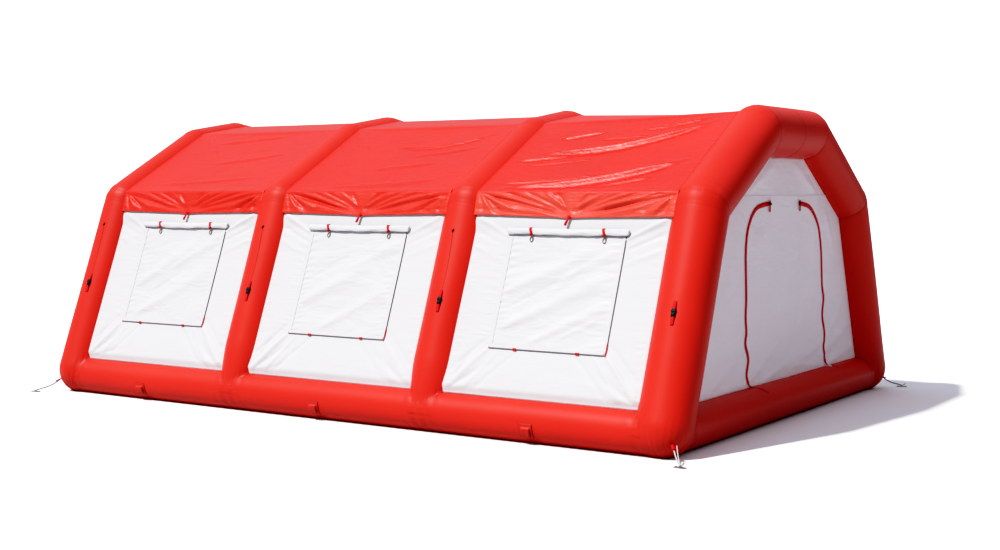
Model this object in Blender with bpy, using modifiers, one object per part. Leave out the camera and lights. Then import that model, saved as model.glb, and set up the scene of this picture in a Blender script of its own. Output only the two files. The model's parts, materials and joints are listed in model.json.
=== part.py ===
"""Inflatable emergency shelter.

Four air arches stand on a rectangle of air tubes.  A thin roof sheet spans each bay from the front
valance over the ridge to the back valance, a window panel closes each side of each bay, and a flat
cloth wall closes each end.  The ridge runs along X and the front faces -Y.  The origin is on the
ground under the middle.
"""

import math

import bmesh
import bpy
from mathutils import Matrix, Vector

# --- driving dimensions, metres -------------------------------------------------------------------
BAY = 2.30            # spacing of the arches
ARCH_R = 0.233        # arch tube radius
BASE_R = 0.184        # base tube radius
LEG_Y = 2.365         # foot of a leg, from the middle plane
KNEE_Y, KNEE_Z = 1.69, 1.99
TOP_Y, TOP_Z = 0.605, 2.600
APEX_Z = 2.695
FLAT_Y, FLAT_Z = 0.580, 2.650    # the +X gable arch is flat between its upper knees
KNEE_CUT = 0.07       # how far each knee is rounded along the tube
TOP_CUT = 0.05
SIDES = 16            # facets round a tube
FOOT_R = 0.93 * BASE_R    # a middle leg narrows to this where it joins the base
TAPER = 0.45          # length of that narrowing
SHEET = 0.003         # cloth thickness
SEAM_GAP = 0.004      # from a tube to the edge of a sheet
FIT = 0.0004          # from a tube to the tube cut to meet it
END_RUN = 0.20        # a base tube narrows over this length, inside and beside the corner leg
END_R = 0.150         # radius of its end, inside the leg before it is cut
ROOF_OUT = 0.180      # roof sheet's height over the arch centre line
VALANCE_OUT = 0.172   # the same at the valance's lower edge
VALANCE = 0.226       # drop of the valance along the wall
PANEL_OUT = 0.138     # side panel's distance outside the legs' centre line
PANEL_TOP = 1.80      # side panel's upper edge, along the wall from the base centre
PANEL_BOTTOM = 0.150  # its lower edge
HOLE_X = 0.55         # half the width of the window opening
HOLE_S = (0.597, 1.58)
WINDOW_LAP = 0.025    # window cloth over the panel round the opening
ROLL_S = 1.632        # rolled flap's centre along the wall
ROLL_R = 0.030
ROLL_X = 0.605
END_OUT = 0.012       # end wall's offset outside the gable arch's centre plane
ZIP_WIDTH = 0.024
PATCH = (0.155, 0.004, 42.0)    # width, thickness, degrees round the base tube
STRAP = (0.045, 0.014, 0.13)    # width, depth and height of a leg strap with its buckle
STRAP_S = 0.94
PEG = (0.10, 0.045, 0.006)
PEG_X, PEG_Y = 3.76, 2.71
CORD_R = 0.006

ARCH_X = [(i - 1.5) * BAY for i in range(4)]
BASE_Z = BASE_R * math.cos(math.pi / SIDES)
WALL = Vector((LEG_Y - KNEE_Y, KNEE_Z - BASE_Z)).normalized()    # up a front leg, in (y, z)
WALL_OUT = Vector((-WALL.y, WALL.x))
WALL_LEN = math.hypot(LEG_Y - KNEE_Y, KNEE_Z - BASE_Z)

RED = (0.55, 0.012, 0.022, 1.0)
WHITE = (0.80, 0.81, 0.84, 1.0)
CLEAR = (0.72, 0.74, 0.78, 1.0)
BLACK = (0.02, 0.02, 0.022, 1.0)
GREY = (0.42, 0.42, 0.43, 1.0)


def clean_start():
    for ob in list(bpy.data.objects):
        bpy.data.objects.remove(ob, do_unlink=True)


def collection(name):
    coll = bpy.data.collections.new(name)
    bpy.context.scene.collection.children.link(coll)
    return coll


def material(name, colour, roughness, metallic=0.0):
    mat = bpy.data.materials.new(name)
    mat.use_nodes = True
    shader = mat.node_tree.nodes["Principled BSDF"]
    shader.inputs["Base Color"].default_value = colour
    shader.inputs["Roughness"].default_value = roughness
    shader.inputs["Metallic"].default_value = metallic
    return mat


def add_object(name, bm, coll, mat=None, smooth=True):
    mesh = bpy.data.meshes.new(name)
    bmesh.ops.recalc_face_normals(bm, faces=bm.faces)
    bm.to_mesh(mesh)
    bm.free()
    ob = bpy.data.objects.new(name, mesh)
    coll.objects.link(ob)
    if mat is not None:
        mesh.materials.append(mat)
    if smooth:
        mesh.shade_smooth()
        mesh.set_sharp_from_angle(angle=math.radians(35))
    return ob


def smoothstep(t):
    t = min(max(t, 0.0), 1.0)
    return t * t * (3.0 - 2.0 * t)


# --- lines in the (y, z) plane --------------------------------------------------------------------
def cut_corner(before, corner, after, cut):
    """The two points that replace a sharp corner."""
    a = (before - corner).normalized() * cut
    b = (after - corner).normalized() * cut
    return [corner + a, corner + b]


def top_points(i):
    """Upper knee and apex of arch i."""
    if i == 3:
        return Vector((-FLAT_Y, FLAT_Z)), Vector((0.0, FLAT_Z))
    return Vector((-TOP_Y, TOP_Z)), Vector((0.0, APEX_Z))


def arch_line(i):
    """Centre line of arch i from the front foot to the back foot, corners cut."""
    foot = Vector((-LEG_Y, BASE_Z))
    knee = Vector((-KNEE_Y, KNEE_Z))
    top, apex = top_points(i)
    half = [foot] + cut_corner(foot, knee, top, KNEE_CUT) + cut_corner(knee, top, apex, TOP_CUT)
    half.append(apex + (top - apex).normalized() * TOP_CUT)
    return half + [Vector((-p.x, p.y)) for p in reversed(half)]


def roof_line(i):
    """Sharp line of the roof over arch i: front knee, upper knee, apex, and the same at the back."""
    top, apex = top_points(i)
    half = [Vector((-LEG_Y, BASE_Z)), Vector((-KNEE_Y, KNEE_Z)), top]
    return half + [apex] + [Vector((-p.x, p.y)) for p in reversed(half)]


def offset_line(points, out):
    """The line moved outwards (to the left of its run, front to back), mitred at its corners."""
    moved = []
    for i, p in enumerate(points):
        d0 = (points[i] - points[i - 1]).normalized() if i else None
        d1 = (points[i + 1] - points[i]).normalized() if i < len(points) - 1 else None
        d0 = d0 or d1
        d1 = d1 or d0
        n0 = Vector((-d0.y, d0.x))
        n1 = Vector((-d1.y, d1.x))
        n = (n0 + n1).normalized()
        moved.append(p + n * (out / n.dot(n0)))
    return moved


def wall_point(side, x, s, out):
    """A point on a long wall: x, s up the wall from the base centre, out from the leg line."""
    y = -LEG_Y + WALL.x * s + WALL_OUT.x * out
    z = BASE_Z + WALL.y * s + WALL_OUT.y * out
    return Vector((x, side * -y, z)) if side > 0 else Vector((x, y, z))


# --- tubes ----------------------------------------------------------------------------------------
def tube(name, centres, radii, coll, mat=None, sides=SIDES):
    """A tube through centres in a plane of constant x or z, mitred at each one."""
    bm = bmesh.new()
    flat = Vector((1, 0, 0)) if all(abs(c.x - centres[0].x) < 1e-6 for c in centres) else Vector((0, 0, 1))
    rings = []
    for i, c in enumerate(centres):
        d0 = (centres[i] - centres[i - 1]).normalized() if i else None
        d1 = (centres[i + 1] - centres[i]).normalized() if i < len(centres) - 1 else None
        d0 = d0 or d1
        d1 = d1 or d0
        n0 = d0.cross(flat).normalized()
        n = (n0 + d1.cross(flat).normalized()).normalized()
        stretch = 1.0 / n.dot(n0)
        ring = []
        for k in range(sides):
            a = 2.0 * math.pi * (k + 0.5) / sides
            ring.append(bm.verts.new(c + radii[i] * (math.cos(a) * flat + math.sin(a) * stretch * n)))
        rings.append(ring)
    for a, b in zip(rings, rings[1:]):
        for k in range(sides):
            m = (k + 1) % sides
            bm.faces.new((a[k], a[m], b[m], b[k]))
    bm.faces.new(rings[0])
    bm.faces.new(rings[-1])
    return add_object(name, bm, coll, mat)


def foot_dome(foot, up, grow):
    """Centres and radii of the round closed end of a gable leg, from its tip up to the tube."""
    centres, radii = [], []
    for deg in (78, 56, 34, 14):
        t = math.radians(deg)
        centres.append(foot - up * (ARCH_R * math.sin(t)))
        radii.append(ARCH_R * math.cos(t) + grow)
    if grow:
        centres[0] = centres[0] - up * grow
    return centres, radii


def leg_radius(s):
    """Radius of a middle leg, s up from the base centre."""
    t = min(s / TAPER, 1.0)
    return ARCH_R - (ARCH_R - FOOT_R) * (1.0 - t) ** 2


def gable_foot():
    """Front foot centre of a gable leg: on the leg's line, one radius over the ground."""
    z = ARCH_R - 0.004
    s = (z - BASE_Z) / WALL.y
    return Vector((-LEG_Y + WALL.x * s, z))


def to_world(x, p):
    return Vector((x, p.x, p.y))


def gable_arch(name, i, coll, mat):
    line = arch_line(i)
    foot = gable_foot()
    up = WALL
    centres, radii = foot_dome(foot, up, 0.0)
    half = centres + [foot + up * 0.25] + line[1:len(line) // 2]
    radii = radii + [ARCH_R] * (len(half) - len(radii))
    pts = half + [Vector((-p.x, p.y)) for p in reversed(half)]
    return tube(name, [to_world(ARCH_X[i], p) for p in pts], radii + radii[::-1], coll, mat)


def middle_arch(name, i, coll, mat):
    line = arch_line(i)
    steps = [0.0, 0.12, 0.25, TAPER]
    half = [line[0] + WALL * s for s in steps] + line[1:len(line) // 2]
    radii = [leg_radius(s) for s in steps] + [ARCH_R] * (len(half) - len(steps))
    pts = half + [Vector((-p.x, p.y)) for p in reversed(half)]
    return tube(name, [to_world(ARCH_X[i], p) for p in pts], radii + radii[::-1], coll, mat)


def leg_cutter(name, x, side, coll):
    foot = gable_foot()
    centres, radii = foot_dome(foot, WALL, FIT)
    pts = centres + [foot + WALL * s for s in (0.25, 0.7)]
    radii = radii + [ARCH_R + FIT] * 2
    world = [Vector((x, -side * p.x, p.y)) if side > 0 else to_world(x, p) for p in pts]
    return as_cutter(tube(name, world, radii, coll))


def as_cutter(ob):
    ob.hide_render = True
    ob.display_type = "WIRE"
    return ob


def cut(ob, cutter):
    mod = ob.modifiers.new("cut_" + cutter.name, "BOOLEAN")
    mod.operation = "DIFFERENCE"
    mod.object = cutter
    mod.solver = "EXACT"


def base_tube(name, a, b, coll, mat, grow=0.0):
    """A straight base tube; its ends narrow a little where they run into the corner legs."""
    run = (b - a).normalized() * END_RUN
    return tube(name, [a, a + run, b - run, b], [END_R + grow] + [BASE_R + grow] * 2 + [END_R + grow], coll, mat)


# --- sheets ---------------------------------------------------------------------------------------
def sheet(name, us, vs, place, coll, mat, skip=None, thick=SHEET):
    """A cloth surface: place(u, v) gives each point; cells that skip() names are left out."""
    bm = bmesh.new()
    rows = [[None] * len(us) for _ in vs]
    for j in range(len(vs) - 1):
        for i in range(len(us) - 1):
            if skip and skip(0.5 * (us[i] + us[i + 1]), 0.5 * (vs[j] + vs[j + 1])):
                continue
            corners = []
            for jj, ii in ((j, i), (j, i + 1), (j + 1, i + 1), (j + 1, i)):
                if rows[jj][ii] is None:
                    rows[jj][ii] = bm.verts.new(place(us[ii], vs[jj]))
                corners.append(rows[jj][ii])
            bm.faces.new(corners)
    ob = add_object(name, bm, coll, mat)
    mod = ob.modifiers.new("thickness", "SOLIDIFY")
    mod.thickness = thick
    mod.offset = 0.0
    mod.use_even_offset = True
    mod.use_rim = True
    return ob


def lateral(radius, out):
    """How far from the arch's plane a sheet at this height clears the tube."""
    h = abs(out) - SHEET
    return math.sqrt(max(radius * radius - max(h, 0.0) ** 2, 0.0)) + SEAM_GAP


# Long soft ridges of the roof sheet: across the bay, along the slope, height, width, slant.
ROOF_RIDGES = [
    (0.30, 0.45, 0.010, 0.14, 0.55),
    (0.62, 0.60, 0.012, 0.16, 0.45),
    (0.80, 0.25, -0.008, 0.14, 0.40),
]


def roof_sheet(name, i, coll, mat):
    """The roof of bay i; the bays differ a little in how their folds lie."""
    x0 = ARCH_X[i]
    edge, far_edge = offset_line(roof_line(i), ROOF_OUT), offset_line(roof_line(i + 1), ROOF_OUT)
    us = [k / 10 for k in range(11)]
    shift = (i - 1) * 0.07
    # rows: valance edge, valance middle, knee, slope, upper knee, half top, apex, and back again
    stations = [("wall", 0.0), ("wall", 0.5), (1, 0.0), (1, 0.33), (1, 0.66), (2, 0.0), (2, 0.5), (3, 0.0)]
    stations += [(3, 0.5), (4, 0.0), (4, 0.34), (4, 0.67), (5, 0.0), ("back", 0.5), ("back", 1.0)]

    def place(u, v):
        kind, t = stations[int(round(v))]
        span = math.sin(math.pi * u)
        if kind in ("wall", "back"):
            drop = (1.0 - t) if kind == "wall" else t
            drop_len = VALANCE * drop * (1.0 + 0.08 * span)
            out = ROOF_OUT + (VALANCE_OUT - ROOF_OUT) * drop
            fold = 0.009 * drop * math.sin(3.0 * math.pi * (u + shift)) * span
            side = -1 if kind == "wall" else 1
            knee = edge[1]
            s_knee = (knee - Vector((-LEG_Y, BASE_Z))).dot(WALL)
            xl = lateral(ARCH_R, out)
            return wall_point(side, x0 + xl + u * (BAY - 2 * xl), s_knee - drop_len, out + fold)
        p = edge[kind].lerp(edge[kind + 1], t).lerp(far_edge[kind].lerp(far_edge[kind + 1], t), u)
        xl = lateral(ARCH_R, ROOF_OUT)
        sag = 0.022 * span if TOP_Y < abs(p.x) < KNEE_Y - 0.05 else 0.004 * span
        for cu, cs, high, wide, slant in ROOF_RIDGES:
            along = (abs(p.x) - TOP_Y) / (KNEE_Y - TOP_Y)
            if 0.0 <= along <= 1.05:
                off = (u - cu - shift) + slant * (along - cs)
                sag -= high * math.exp(-(off / wide) ** 2) * span
        return Vector((x0 + xl + u * (BAY - 2 * xl), p.x, p.y - sag))

    return sheet(name, us, [float(k) for k in range(len(stations))], place, coll, mat)


def panel_out(x, s):
    """Side panel's distance outside the leg line: drawn in a little to the base tube, then flat."""
    out = PANEL_OUT - 0.020 * (1.0 - smoothstep((s - PANEL_BOTTOM) / 0.12))
    belly = 0.010 * math.cos(math.pi * x / 2.1) * smoothstep((s - 0.3) / 0.4)
    return out - belly * (1.0 - smoothstep((s - 1.35) / 0.35))


def side_panel(name, i, side, coll, mat):
    mid = 0.5 * (ARCH_X[i] + ARCH_X[i + 1])
    us = [-1.0, -0.75, -HOLE_X, -0.275, 0.0, 0.275, HOLE_X, 0.75, 1.0]
    vs = [PANEL_BOTTOM, 0.21, 0.27, 0.38, HOLE_S[0], 0.85, 1.10, 1.35, HOLE_S[1], 1.70, PANEL_TOP]

    def place(u, s):
        x = u
        if abs(u) == 1.0:
            arch = i if u < 0 else i + 1
            r = ARCH_R if arch in (0, 3) else leg_radius(s)
            x = math.copysign(BAY / 2 - lateral(r, panel_out(0.9, s)), u)
        return wall_point(side, mid + x, s, panel_out(x, s))

    def hole(u, s):
        return abs(u) < HOLE_X and HOLE_S[0] < s < HOLE_S[1]

    return sheet(name, us, vs, place, coll, mat, skip=hole)


def window_sheet(name, i, side, coll, mat):
    mid = 0.5 * (ARCH_X[i] + ARCH_X[i + 1])
    w = HOLE_X + WINDOW_LAP
    us = [-w, -HOLE_X, -0.275, 0.0, 0.275, HOLE_X, w]
    vs = [HOLE_S[0] - WINDOW_LAP, HOLE_S[0], 0.85, 1.10, 1.35, HOLE_S[1], HOLE_S[1] + WINDOW_LAP]
    thick = 0.002

    def place(x, s):
        return wall_point(side, mid + x, s, panel_out(x, s) + SHEET / 2 + thick / 2 + 0.0012)

    return sheet(name, us, vs, place, coll, mat, thick=thick)


def roll(name, i, side, coll, mat):
    """The rolled-up outer flap over the window, sagging a little between its ties."""
    mid = 0.5 * (ARCH_X[i] + ARCH_X[i + 1])
    bm = bmesh.new()
    rings = []
    stops = [-1.0, -0.85, -0.6, -0.3, 0.0, 0.3, 0.6, 0.85, 1.0]
    for t in stops:
        pinch = 0.90 if abs(t) == 0.6 else 1.0
        r = ROLL_R * pinch * (0.8 if abs(t) == 1.0 else 1.0)
        sag = 0.008 * (math.cos(math.pi * t / 1.2) if abs(t) < 0.6 else 0.4 * (abs(t) - 0.6))
        ring = []
        for k in range(10):
            a = 2 * math.pi * k / 10
            s = ROLL_S - sag + r * math.cos(a)
            out = PANEL_OUT + 0.007 + ROLL_R + 0.9 * r * math.sin(a)
            ring.append(bm.verts.new(wall_point(side, mid + t * ROLL_X, s, out)))
        rings.append(ring)
    for a, b in zip(rings, rings[1:]):
        for k in range(10):
            bm.faces.new((a[k], a[(k + 1) % 10], b[(k + 1) % 10], b[k]))
    bm.faces.new(rings[0])
    bm.faces.new(rings[-1])
    return add_object(name, bm, coll, mat)


def end_wall(name, sign, coll, mat):
    """A flat sheet that fills the gable arch down to the end base tube."""
    clear = ARCH_R + SEAM_GAP
    inner = offset_line(arch_line(3 if sign > 0 else 0), -clear)
    low = 2 * BASE_Z + SEAM_GAP
    s0 = (low - inner[0].y) / WALL.y
    first = inner[0] + WALL * s0
    half = [first] + inner[1:len(inner) // 2]
    outline = half + [Vector((-p.x, p.y)) for p in reversed(half)]
    x = sign * (ARCH_X[3] + END_OUT)
    bm = bmesh.new()
    bm.faces.new([bm.verts.new((x, p.x, p.y)) for p in outline])
    bmesh.ops.triangulate(bm, faces=bm.faces)
    ob = add_object(name, bm, coll, mat)
    mod = ob.modifiers.new("thickness", "SOLIDIFY")
    mod.thickness = SHEET
    mod.offset = 0.0
    return ob


# Door zips: from the toggle near the middle, out, then down to the base tube, as (y, z).
ZIP_LEFT = [(-0.34, 2.00), (-0.60, 1.965), (-0.75, 1.88), (-0.83, 1.75), (-0.845, 1.55), (-0.83, 1.15),
            (-0.82, 0.85), (-0.77, 0.60), (-0.76, 0.375)]
ZIP_RIGHT = [(0.39, 2.00), (0.65, 1.965), (0.82, 1.88), (0.93, 1.75), (0.99, 1.55), (1.03, 1.15),
             (1.05, 0.85), (1.09, 0.60), (1.14, 0.375)]


def door_zip(name, path, coll, mat):
    x = ARCH_X[3] + END_OUT + SHEET + 0.0012
    pts = [Vector(p) for p in path]
    inner = offset_line(pts, -ZIP_WIDTH / 2)
    outer = offset_line(pts, ZIP_WIDTH / 2)

    def place(u, v):
        p = inner[int(v)].lerp(outer[int(v)], u)
        return Vector((x, p.x, p.y))

    return sheet(name, [0.0, 1.0], [float(k) for k in range(len(pts))], place, coll, mat)


def base_patch(name, i, side, coll, mat):
    """A square of cloth welded over the outer face of the base tube, in the middle of a bay."""
    mid = 0.5 * (ARCH_X[i] + ARCH_X[i + 1])
    r = BASE_R + PATCH[1]

    def place(u, deg):
        a = math.radians(deg)
        return Vector((mid + u, side * (LEG_Y + r * math.cos(a)), BASE_Z - r * math.sin(a)))

    us = [-PATCH[0] / 2, PATCH[0] / 2]
    degs = [-4.0, 12.0, 28.0, PATCH[2]]
    return sheet(name, us, degs, place, coll, mat)


def box(name, size, matrix, coll, mat, bevel):
    bm = bmesh.new()
    bmesh.ops.create_cube(bm, size=1.0)
    bmesh.ops.scale(bm, vec=size, verts=bm.verts)
    ob = add_object(name, bm, coll, mat, smooth=False)
    ob.matrix_world = matrix
    mod = ob.modifiers.new("round", "BEVEL")
    mod.width = bevel
    mod.segments = 1
    return ob


def leg_strap(name, x, side, coll, mat):
    """A short webbing strap and its buckle on the outer face of a leg."""
    place = wall_point(side, x, STRAP_S, ARCH_R + 0.001 + STRAP[1] / 2)
    lean = math.atan2(WALL.x, WALL.y) * (1 if side > 0 else -1)
    return box(name, STRAP, Matrix.Translation(place) @ Matrix.Rotation(lean, 4, "X"), coll, mat, 0.003)


def pull_tab(name, i, side, coll, mat):
    """The short tab that hangs from the middle of the valance."""
    mid = 0.5 * (ARCH_X[i] + ARCH_X[i + 1])

    def place(u, s):
        return wall_point(side, mid + u, s, VALANCE_OUT + 0.014 - 0.02 * (1.78 - s))

    return sheet(name, [-0.011, 0.011], [1.677, 1.726, 1.775], place, coll, mat, thick=0.002)


def anchor(name, sx, sy, coll, cord_mat, peg_mat):
    """A cord from a corner of the base down to a flat ground peg."""
    peg = box("ground_peg" + name, PEG,
              Matrix.Translation((sx * PEG_X, sy * PEG_Y, PEG[2] / 2))
              @ Matrix.Rotation(math.radians(8 * sx * sy), 4, "Z"), coll, peg_mat, 0.001)
    foot = gable_foot()
    c = Vector((sx * ARCH_X[3], sy * -foot.x, foot.y))
    d = Vector((sx * 0.62, sy * 0.66, -0.42)).normalized()
    start = c + d * (ARCH_R + 0.002)
    end = Vector((sx * PEG_X, sy * PEG_Y, PEG[2] + CORD_R + 0.0006))
    curve = bpy.data.curves.new("anchor_cord" + name, "CURVE")
    curve.dimensions = "3D"
    spline = curve.splines.new("POLY")
    n = 12
    spline.points.add(n)
    for k in range(n + 1):
        t = k / n
        p = start.lerp(end, t)
        p.z -= 0.030 * math.sin(math.pi * t) ** 1.2 * (1.0 - 0.75 * t)
        p.z = max(p.z, PEG[2] + CORD_R + 0.0006)
        spline.points[k].co = (p.x, p.y, p.z, 1.0)
    curve.bevel_depth = CORD_R
    curve.bevel_resolution = 2
    curve.use_fill_caps = True
    curve.materials.append(cord_mat)
    ob = bpy.data.objects.new("anchor_cord" + name, curve)
    coll.objects.link(ob)
    return peg, ob


def main():
    clean_start()
    parts = collection("inflatable_emergency_shelter")
    cutters = collection("cutters")
    red = material("red_coated_fabric", RED, 0.38)
    roof_red = material("red_roof_fabric", RED, 0.45)
    white = material("white_fabric", WHITE, 0.55)
    clear = material("window_fabric", CLEAR, 0.40)
    flap = material("flap_fabric", WHITE, 0.60)
    tape = material("red_tape", RED, 0.55)
    black = material("black_plastic", BLACK, 0.45)
    cord = material("grey_cord", GREY, 0.80)
    steel = material("peg_steel", GREY, 0.40, 0.8)

    # air frame
    for i, x in enumerate(ARCH_X):
        make = gable_arch if i in (0, 3) else middle_arch
        arch = make(f"arch_{i + 1}", i, parts, red)
        if i in (0, 3):
            bm = bmesh.new()
            bmesh.ops.create_cube(bm, size=1.0)
            bmesh.ops.scale(bm, vec=(0.8, 6.0, 0.4), verts=bm.verts)
            bmesh.ops.translate(bm, vec=(x, 0.0, -0.2), verts=bm.verts)
            cut(arch, as_cutter(add_object(f"ground_{i + 1}", bm, cutters, smooth=False)))
        else:
            for side, word in ((-1, "front"), (1, "back")):
                a = Vector((x - 0.9, side * LEG_Y, BASE_Z))
                b = Vector((x + 0.9, side * LEG_Y, BASE_Z))
                cut(arch, as_cutter(base_tube(f"foot_{i + 1}_{word}", a, b, cutters, None, FIT)))
    corner_y = -gable_foot().x
    legs = {}
    for i in (0, 3):
        for side in (-1, 1):
            legs[i, side] = leg_cutter(f"leg_{i + 1}_{side + 1}", ARCH_X[i], side, cutters)
    for side, word in ((-1, "front"), (1, "back")):
        ob = base_tube(f"base_{word}", Vector((ARCH_X[0], side * LEG_Y, BASE_Z)),
                       Vector((ARCH_X[3], side * LEG_Y, BASE_Z)), parts, red)
        cut(ob, legs[0, side])
        cut(ob, legs[3, side])
        legs["long", side] = as_cutter(base_tube(f"long_{word}", Vector((ARCH_X[0], side * LEG_Y, BASE_Z)),
                                                 Vector((ARCH_X[3], side * LEG_Y, BASE_Z)), cutters, None, FIT))
    for i, word in ((0, "left"), (3, "right")):
        ob = base_tube(f"base_{word}", Vector((ARCH_X[i], -corner_y, BASE_Z)),
                       Vector((ARCH_X[i], corner_y, BASE_Z)), parts, red)
        for side in (-1, 1):
            cut(ob, legs["long", side])
            cut(ob, legs[i, side])

    # cloth of each bay
    for i in range(3):
        roof_sheet(f"roof_{i + 1}", i, parts, roof_red)
        for side, word in ((-1, "front"), (1, "back")):
            tag = f"{word}_{i + 1}"
            side_panel(f"panel_{tag}", i, side, parts, white)
            window_sheet(f"window_{tag}", i, side, parts, clear)
            roll(f"flap_roll_{tag}", i, side, parts, flap)
            base_patch(f"base_patch_{tag}", i, side, parts, red)
            if side < 0:
                pull_tab(f"pull_tab_{tag}", i, side, parts, tape)

    # ends
    end_wall("end_wall_right", 1, parts, white)
    end_wall("end_wall_left", -1, parts, white)
    door_zip("door_zip_left", ZIP_LEFT, parts, tape)
    door_zip("door_zip_right", ZIP_RIGHT, parts, tape)

    # fittings
    for i, x in enumerate(ARCH_X):
        for side, word in ((-1, "front"), (1, "back")):
            leg_strap(f"leg_strap_{word}_{i + 1}", x, side, parts, black)
    for k, (sx, sy) in enumerate(((-1, -1), (1, -1), (1, 1), (-1, 1))):
        anchor(f"_{k + 1}", sx, sy, parts, cord, steel)


main()
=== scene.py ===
"""Looks of an inflatable emergency shelter: air frame, roof, side panels, end walls and fittings."""

import json
import math

import bmesh
import bpy
import numpy as np
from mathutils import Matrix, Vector

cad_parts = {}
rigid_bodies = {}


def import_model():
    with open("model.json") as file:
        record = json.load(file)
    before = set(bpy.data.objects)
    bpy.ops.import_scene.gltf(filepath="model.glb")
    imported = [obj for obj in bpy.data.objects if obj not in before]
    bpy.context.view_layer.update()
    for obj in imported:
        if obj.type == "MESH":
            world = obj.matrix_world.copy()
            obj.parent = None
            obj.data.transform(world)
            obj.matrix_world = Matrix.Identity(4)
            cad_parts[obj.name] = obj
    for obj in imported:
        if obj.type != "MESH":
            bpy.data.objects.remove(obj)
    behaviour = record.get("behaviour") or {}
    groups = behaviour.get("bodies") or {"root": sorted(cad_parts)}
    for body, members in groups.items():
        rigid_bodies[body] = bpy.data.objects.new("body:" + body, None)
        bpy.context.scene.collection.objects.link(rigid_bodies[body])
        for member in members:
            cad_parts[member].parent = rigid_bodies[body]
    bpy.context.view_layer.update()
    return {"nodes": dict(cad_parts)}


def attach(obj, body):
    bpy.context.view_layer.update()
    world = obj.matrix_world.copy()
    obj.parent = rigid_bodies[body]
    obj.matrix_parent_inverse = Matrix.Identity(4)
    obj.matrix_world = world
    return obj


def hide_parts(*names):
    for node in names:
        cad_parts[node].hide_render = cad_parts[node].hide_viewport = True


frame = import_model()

bl_info = {
    "name": "Inflatable Emergency Shelter",
    "version": (1, 0, 0),
    "blender": (4, 5, 0),
    "location": "View3D > Sidebar > Shelter",
    "description": "Builds the skins, cloths and fittings of an inflatable shelter on its solid frame",
    "category": "Add Mesh",
}

NODES = frame["nodes"]
BODY = "root"
TAU = 2.0 * math.pi
SIDES = {-1: "front", 1: "back"}


# --- sizes and colours a user would change --------------------------------------------------------
def length_prop(name, default, text):
    """A size in metres with its name, default and description."""
    return bpy.props.FloatProperty(name=name, description=text, default=default, unit="LENGTH", precision=4)


def colour_prop(name, default, text):
    """A colour with its name, default and description."""
    return bpy.props.FloatVectorProperty(name=name, description=text, default=default, size=4,
                                         subtype="COLOR", min=0.0, max=1.0)


class ShelterSizes(bpy.types.PropertyGroup):
    """Sizes of the air frame and its cloths, the same as the solids'."""
    bay: length_prop("Bay", 2.30, "Spacing of the arches")
    arch_r: length_prop("Arch radius", 0.233, "Radius of the arch tubes")
    base_r: length_prop("Base radius", 0.184, "Radius of the base tubes")
    leg_y: length_prop("Foot", 2.365, "Foot of a leg from the middle plane")
    knee_y: length_prop("Knee across", 1.69, "Knee from the middle plane")
    knee_z: length_prop("Knee height", 1.99, "Height of the knee")
    top_y: length_prop("Upper knee across", 0.605, "Upper knee from the middle plane")
    top_z: length_prop("Upper knee height", 2.600, "Height of the upper knee")
    apex_z: length_prop("Apex height", 2.695, "Height of the tube's centre at the apex")
    flat_y: length_prop("Flat top across", 0.580, "Upper knee of the +X gable arch from the middle plane")
    flat_z: length_prop("Flat top height", 2.650, "Height of the centre line along the +X gable arch's top")
    roof_out: length_prop("Roof height", 0.180, "Roof sheet over the arch centre line")
    valance_out: length_prop("Valance height", 0.172, "Valance's lower edge outside the leg line")
    valance: length_prop("Valance", 0.226, "Drop of the valance along the wall")
    panel_out: length_prop("Panel height", 0.138, "Side panel outside the leg line")
    panel_low: length_prop("Panel bottom", 0.147, "Side panel's lower edge, along the wall")
    panel_top: length_prop("Panel top", 1.80, "Side panel's upper edge, along the wall")
    window_x: length_prop("Window half width", 0.575, "Half the width of the window cloth")
    window_low: length_prop("Window bottom", 0.572, "Window's lower edge, along the wall")
    window_high: length_prop("Window top", 1.605, "Window's upper edge, along the wall")
    roll_s: length_prop("Roll height", 1.632, "Rolled flap's centre, along the wall")
    roll_r: length_prop("Roll radius", 0.030, "Radius of the rolled flap")
    end_out: length_prop("End wall", 0.012, "End wall outside the gable arch's centre plane")
    cloth: length_prop("Cloth", 0.002, "Thickness of the cloth")


class ShelterColours(bpy.types.PropertyGroup):
    """Base colours of the cloths and fittings."""
    tube: colour_prop("Tube red", (0.60, 0.032, 0.022, 1.0), "Coated cloth of the air frame")
    roof: colour_prop("Roof red", (0.63, 0.024, 0.015, 1.0), "Roof cloth")
    white: colour_prop("White", (0.60, 0.595, 0.61, 1.0), "Side panels")
    # Painted light: a lighter, pinker white than the panels', standing in for daylight through the shaded end
    # walls and red light thrown on them by the tubes.
    end: colour_prop("End white", (0.89, 0.83, 0.865, 1.0), "End walls, in the shade")
    window: colour_prop("Window", (0.60, 0.595, 0.61, 1.0), "Window cloth")
    tape: colour_prop("Red tape", (0.60, 0.012, 0.015, 1.0), "Zips, tabs and ties")
    black: colour_prop("Black", (0.006, 0.006, 0.007, 1.0), "Buckles and bars")
    cord: colour_prop("Cord", (0.22, 0.215, 0.21, 1.0), "Anchor cords")
    steel: colour_prop("Steel", (0.35, 0.35, 0.36, 1.0), "Ground pegs")


def sizes():
    """The sizes that the panel lists."""
    return bpy.context.scene.shelter_sizes


def colours():
    """The colours that the panel lists."""
    return bpy.context.scene.shelter_colours


# --- shader graphs --------------------------------------------------------------------------------
class Value:
    """A shader value that adds Math nodes when it is used in an expression."""

    def __init__(self, graph, socket):
        self.graph = graph
        self.socket = socket

    def math(self, operation, *others):
        return self.graph.node("ShaderNodeMath", {"operation": operation}, dict(enumerate((self,) + others)))

    def __add__(self, other):
        return self.math("ADD", other)

    __radd__ = __add__

    def __mul__(self, other):
        return self.math("MULTIPLY", other)

    def __sub__(self, other):
        return self.math("SUBTRACT", other)

    def __abs__(self):
        return self.math("ABSOLUTE")


def shade(colour, k):
    """The colour made k times as bright."""
    return (colour[0] * k, colour[1] * k, colour[2] * k, 1.0)


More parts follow.
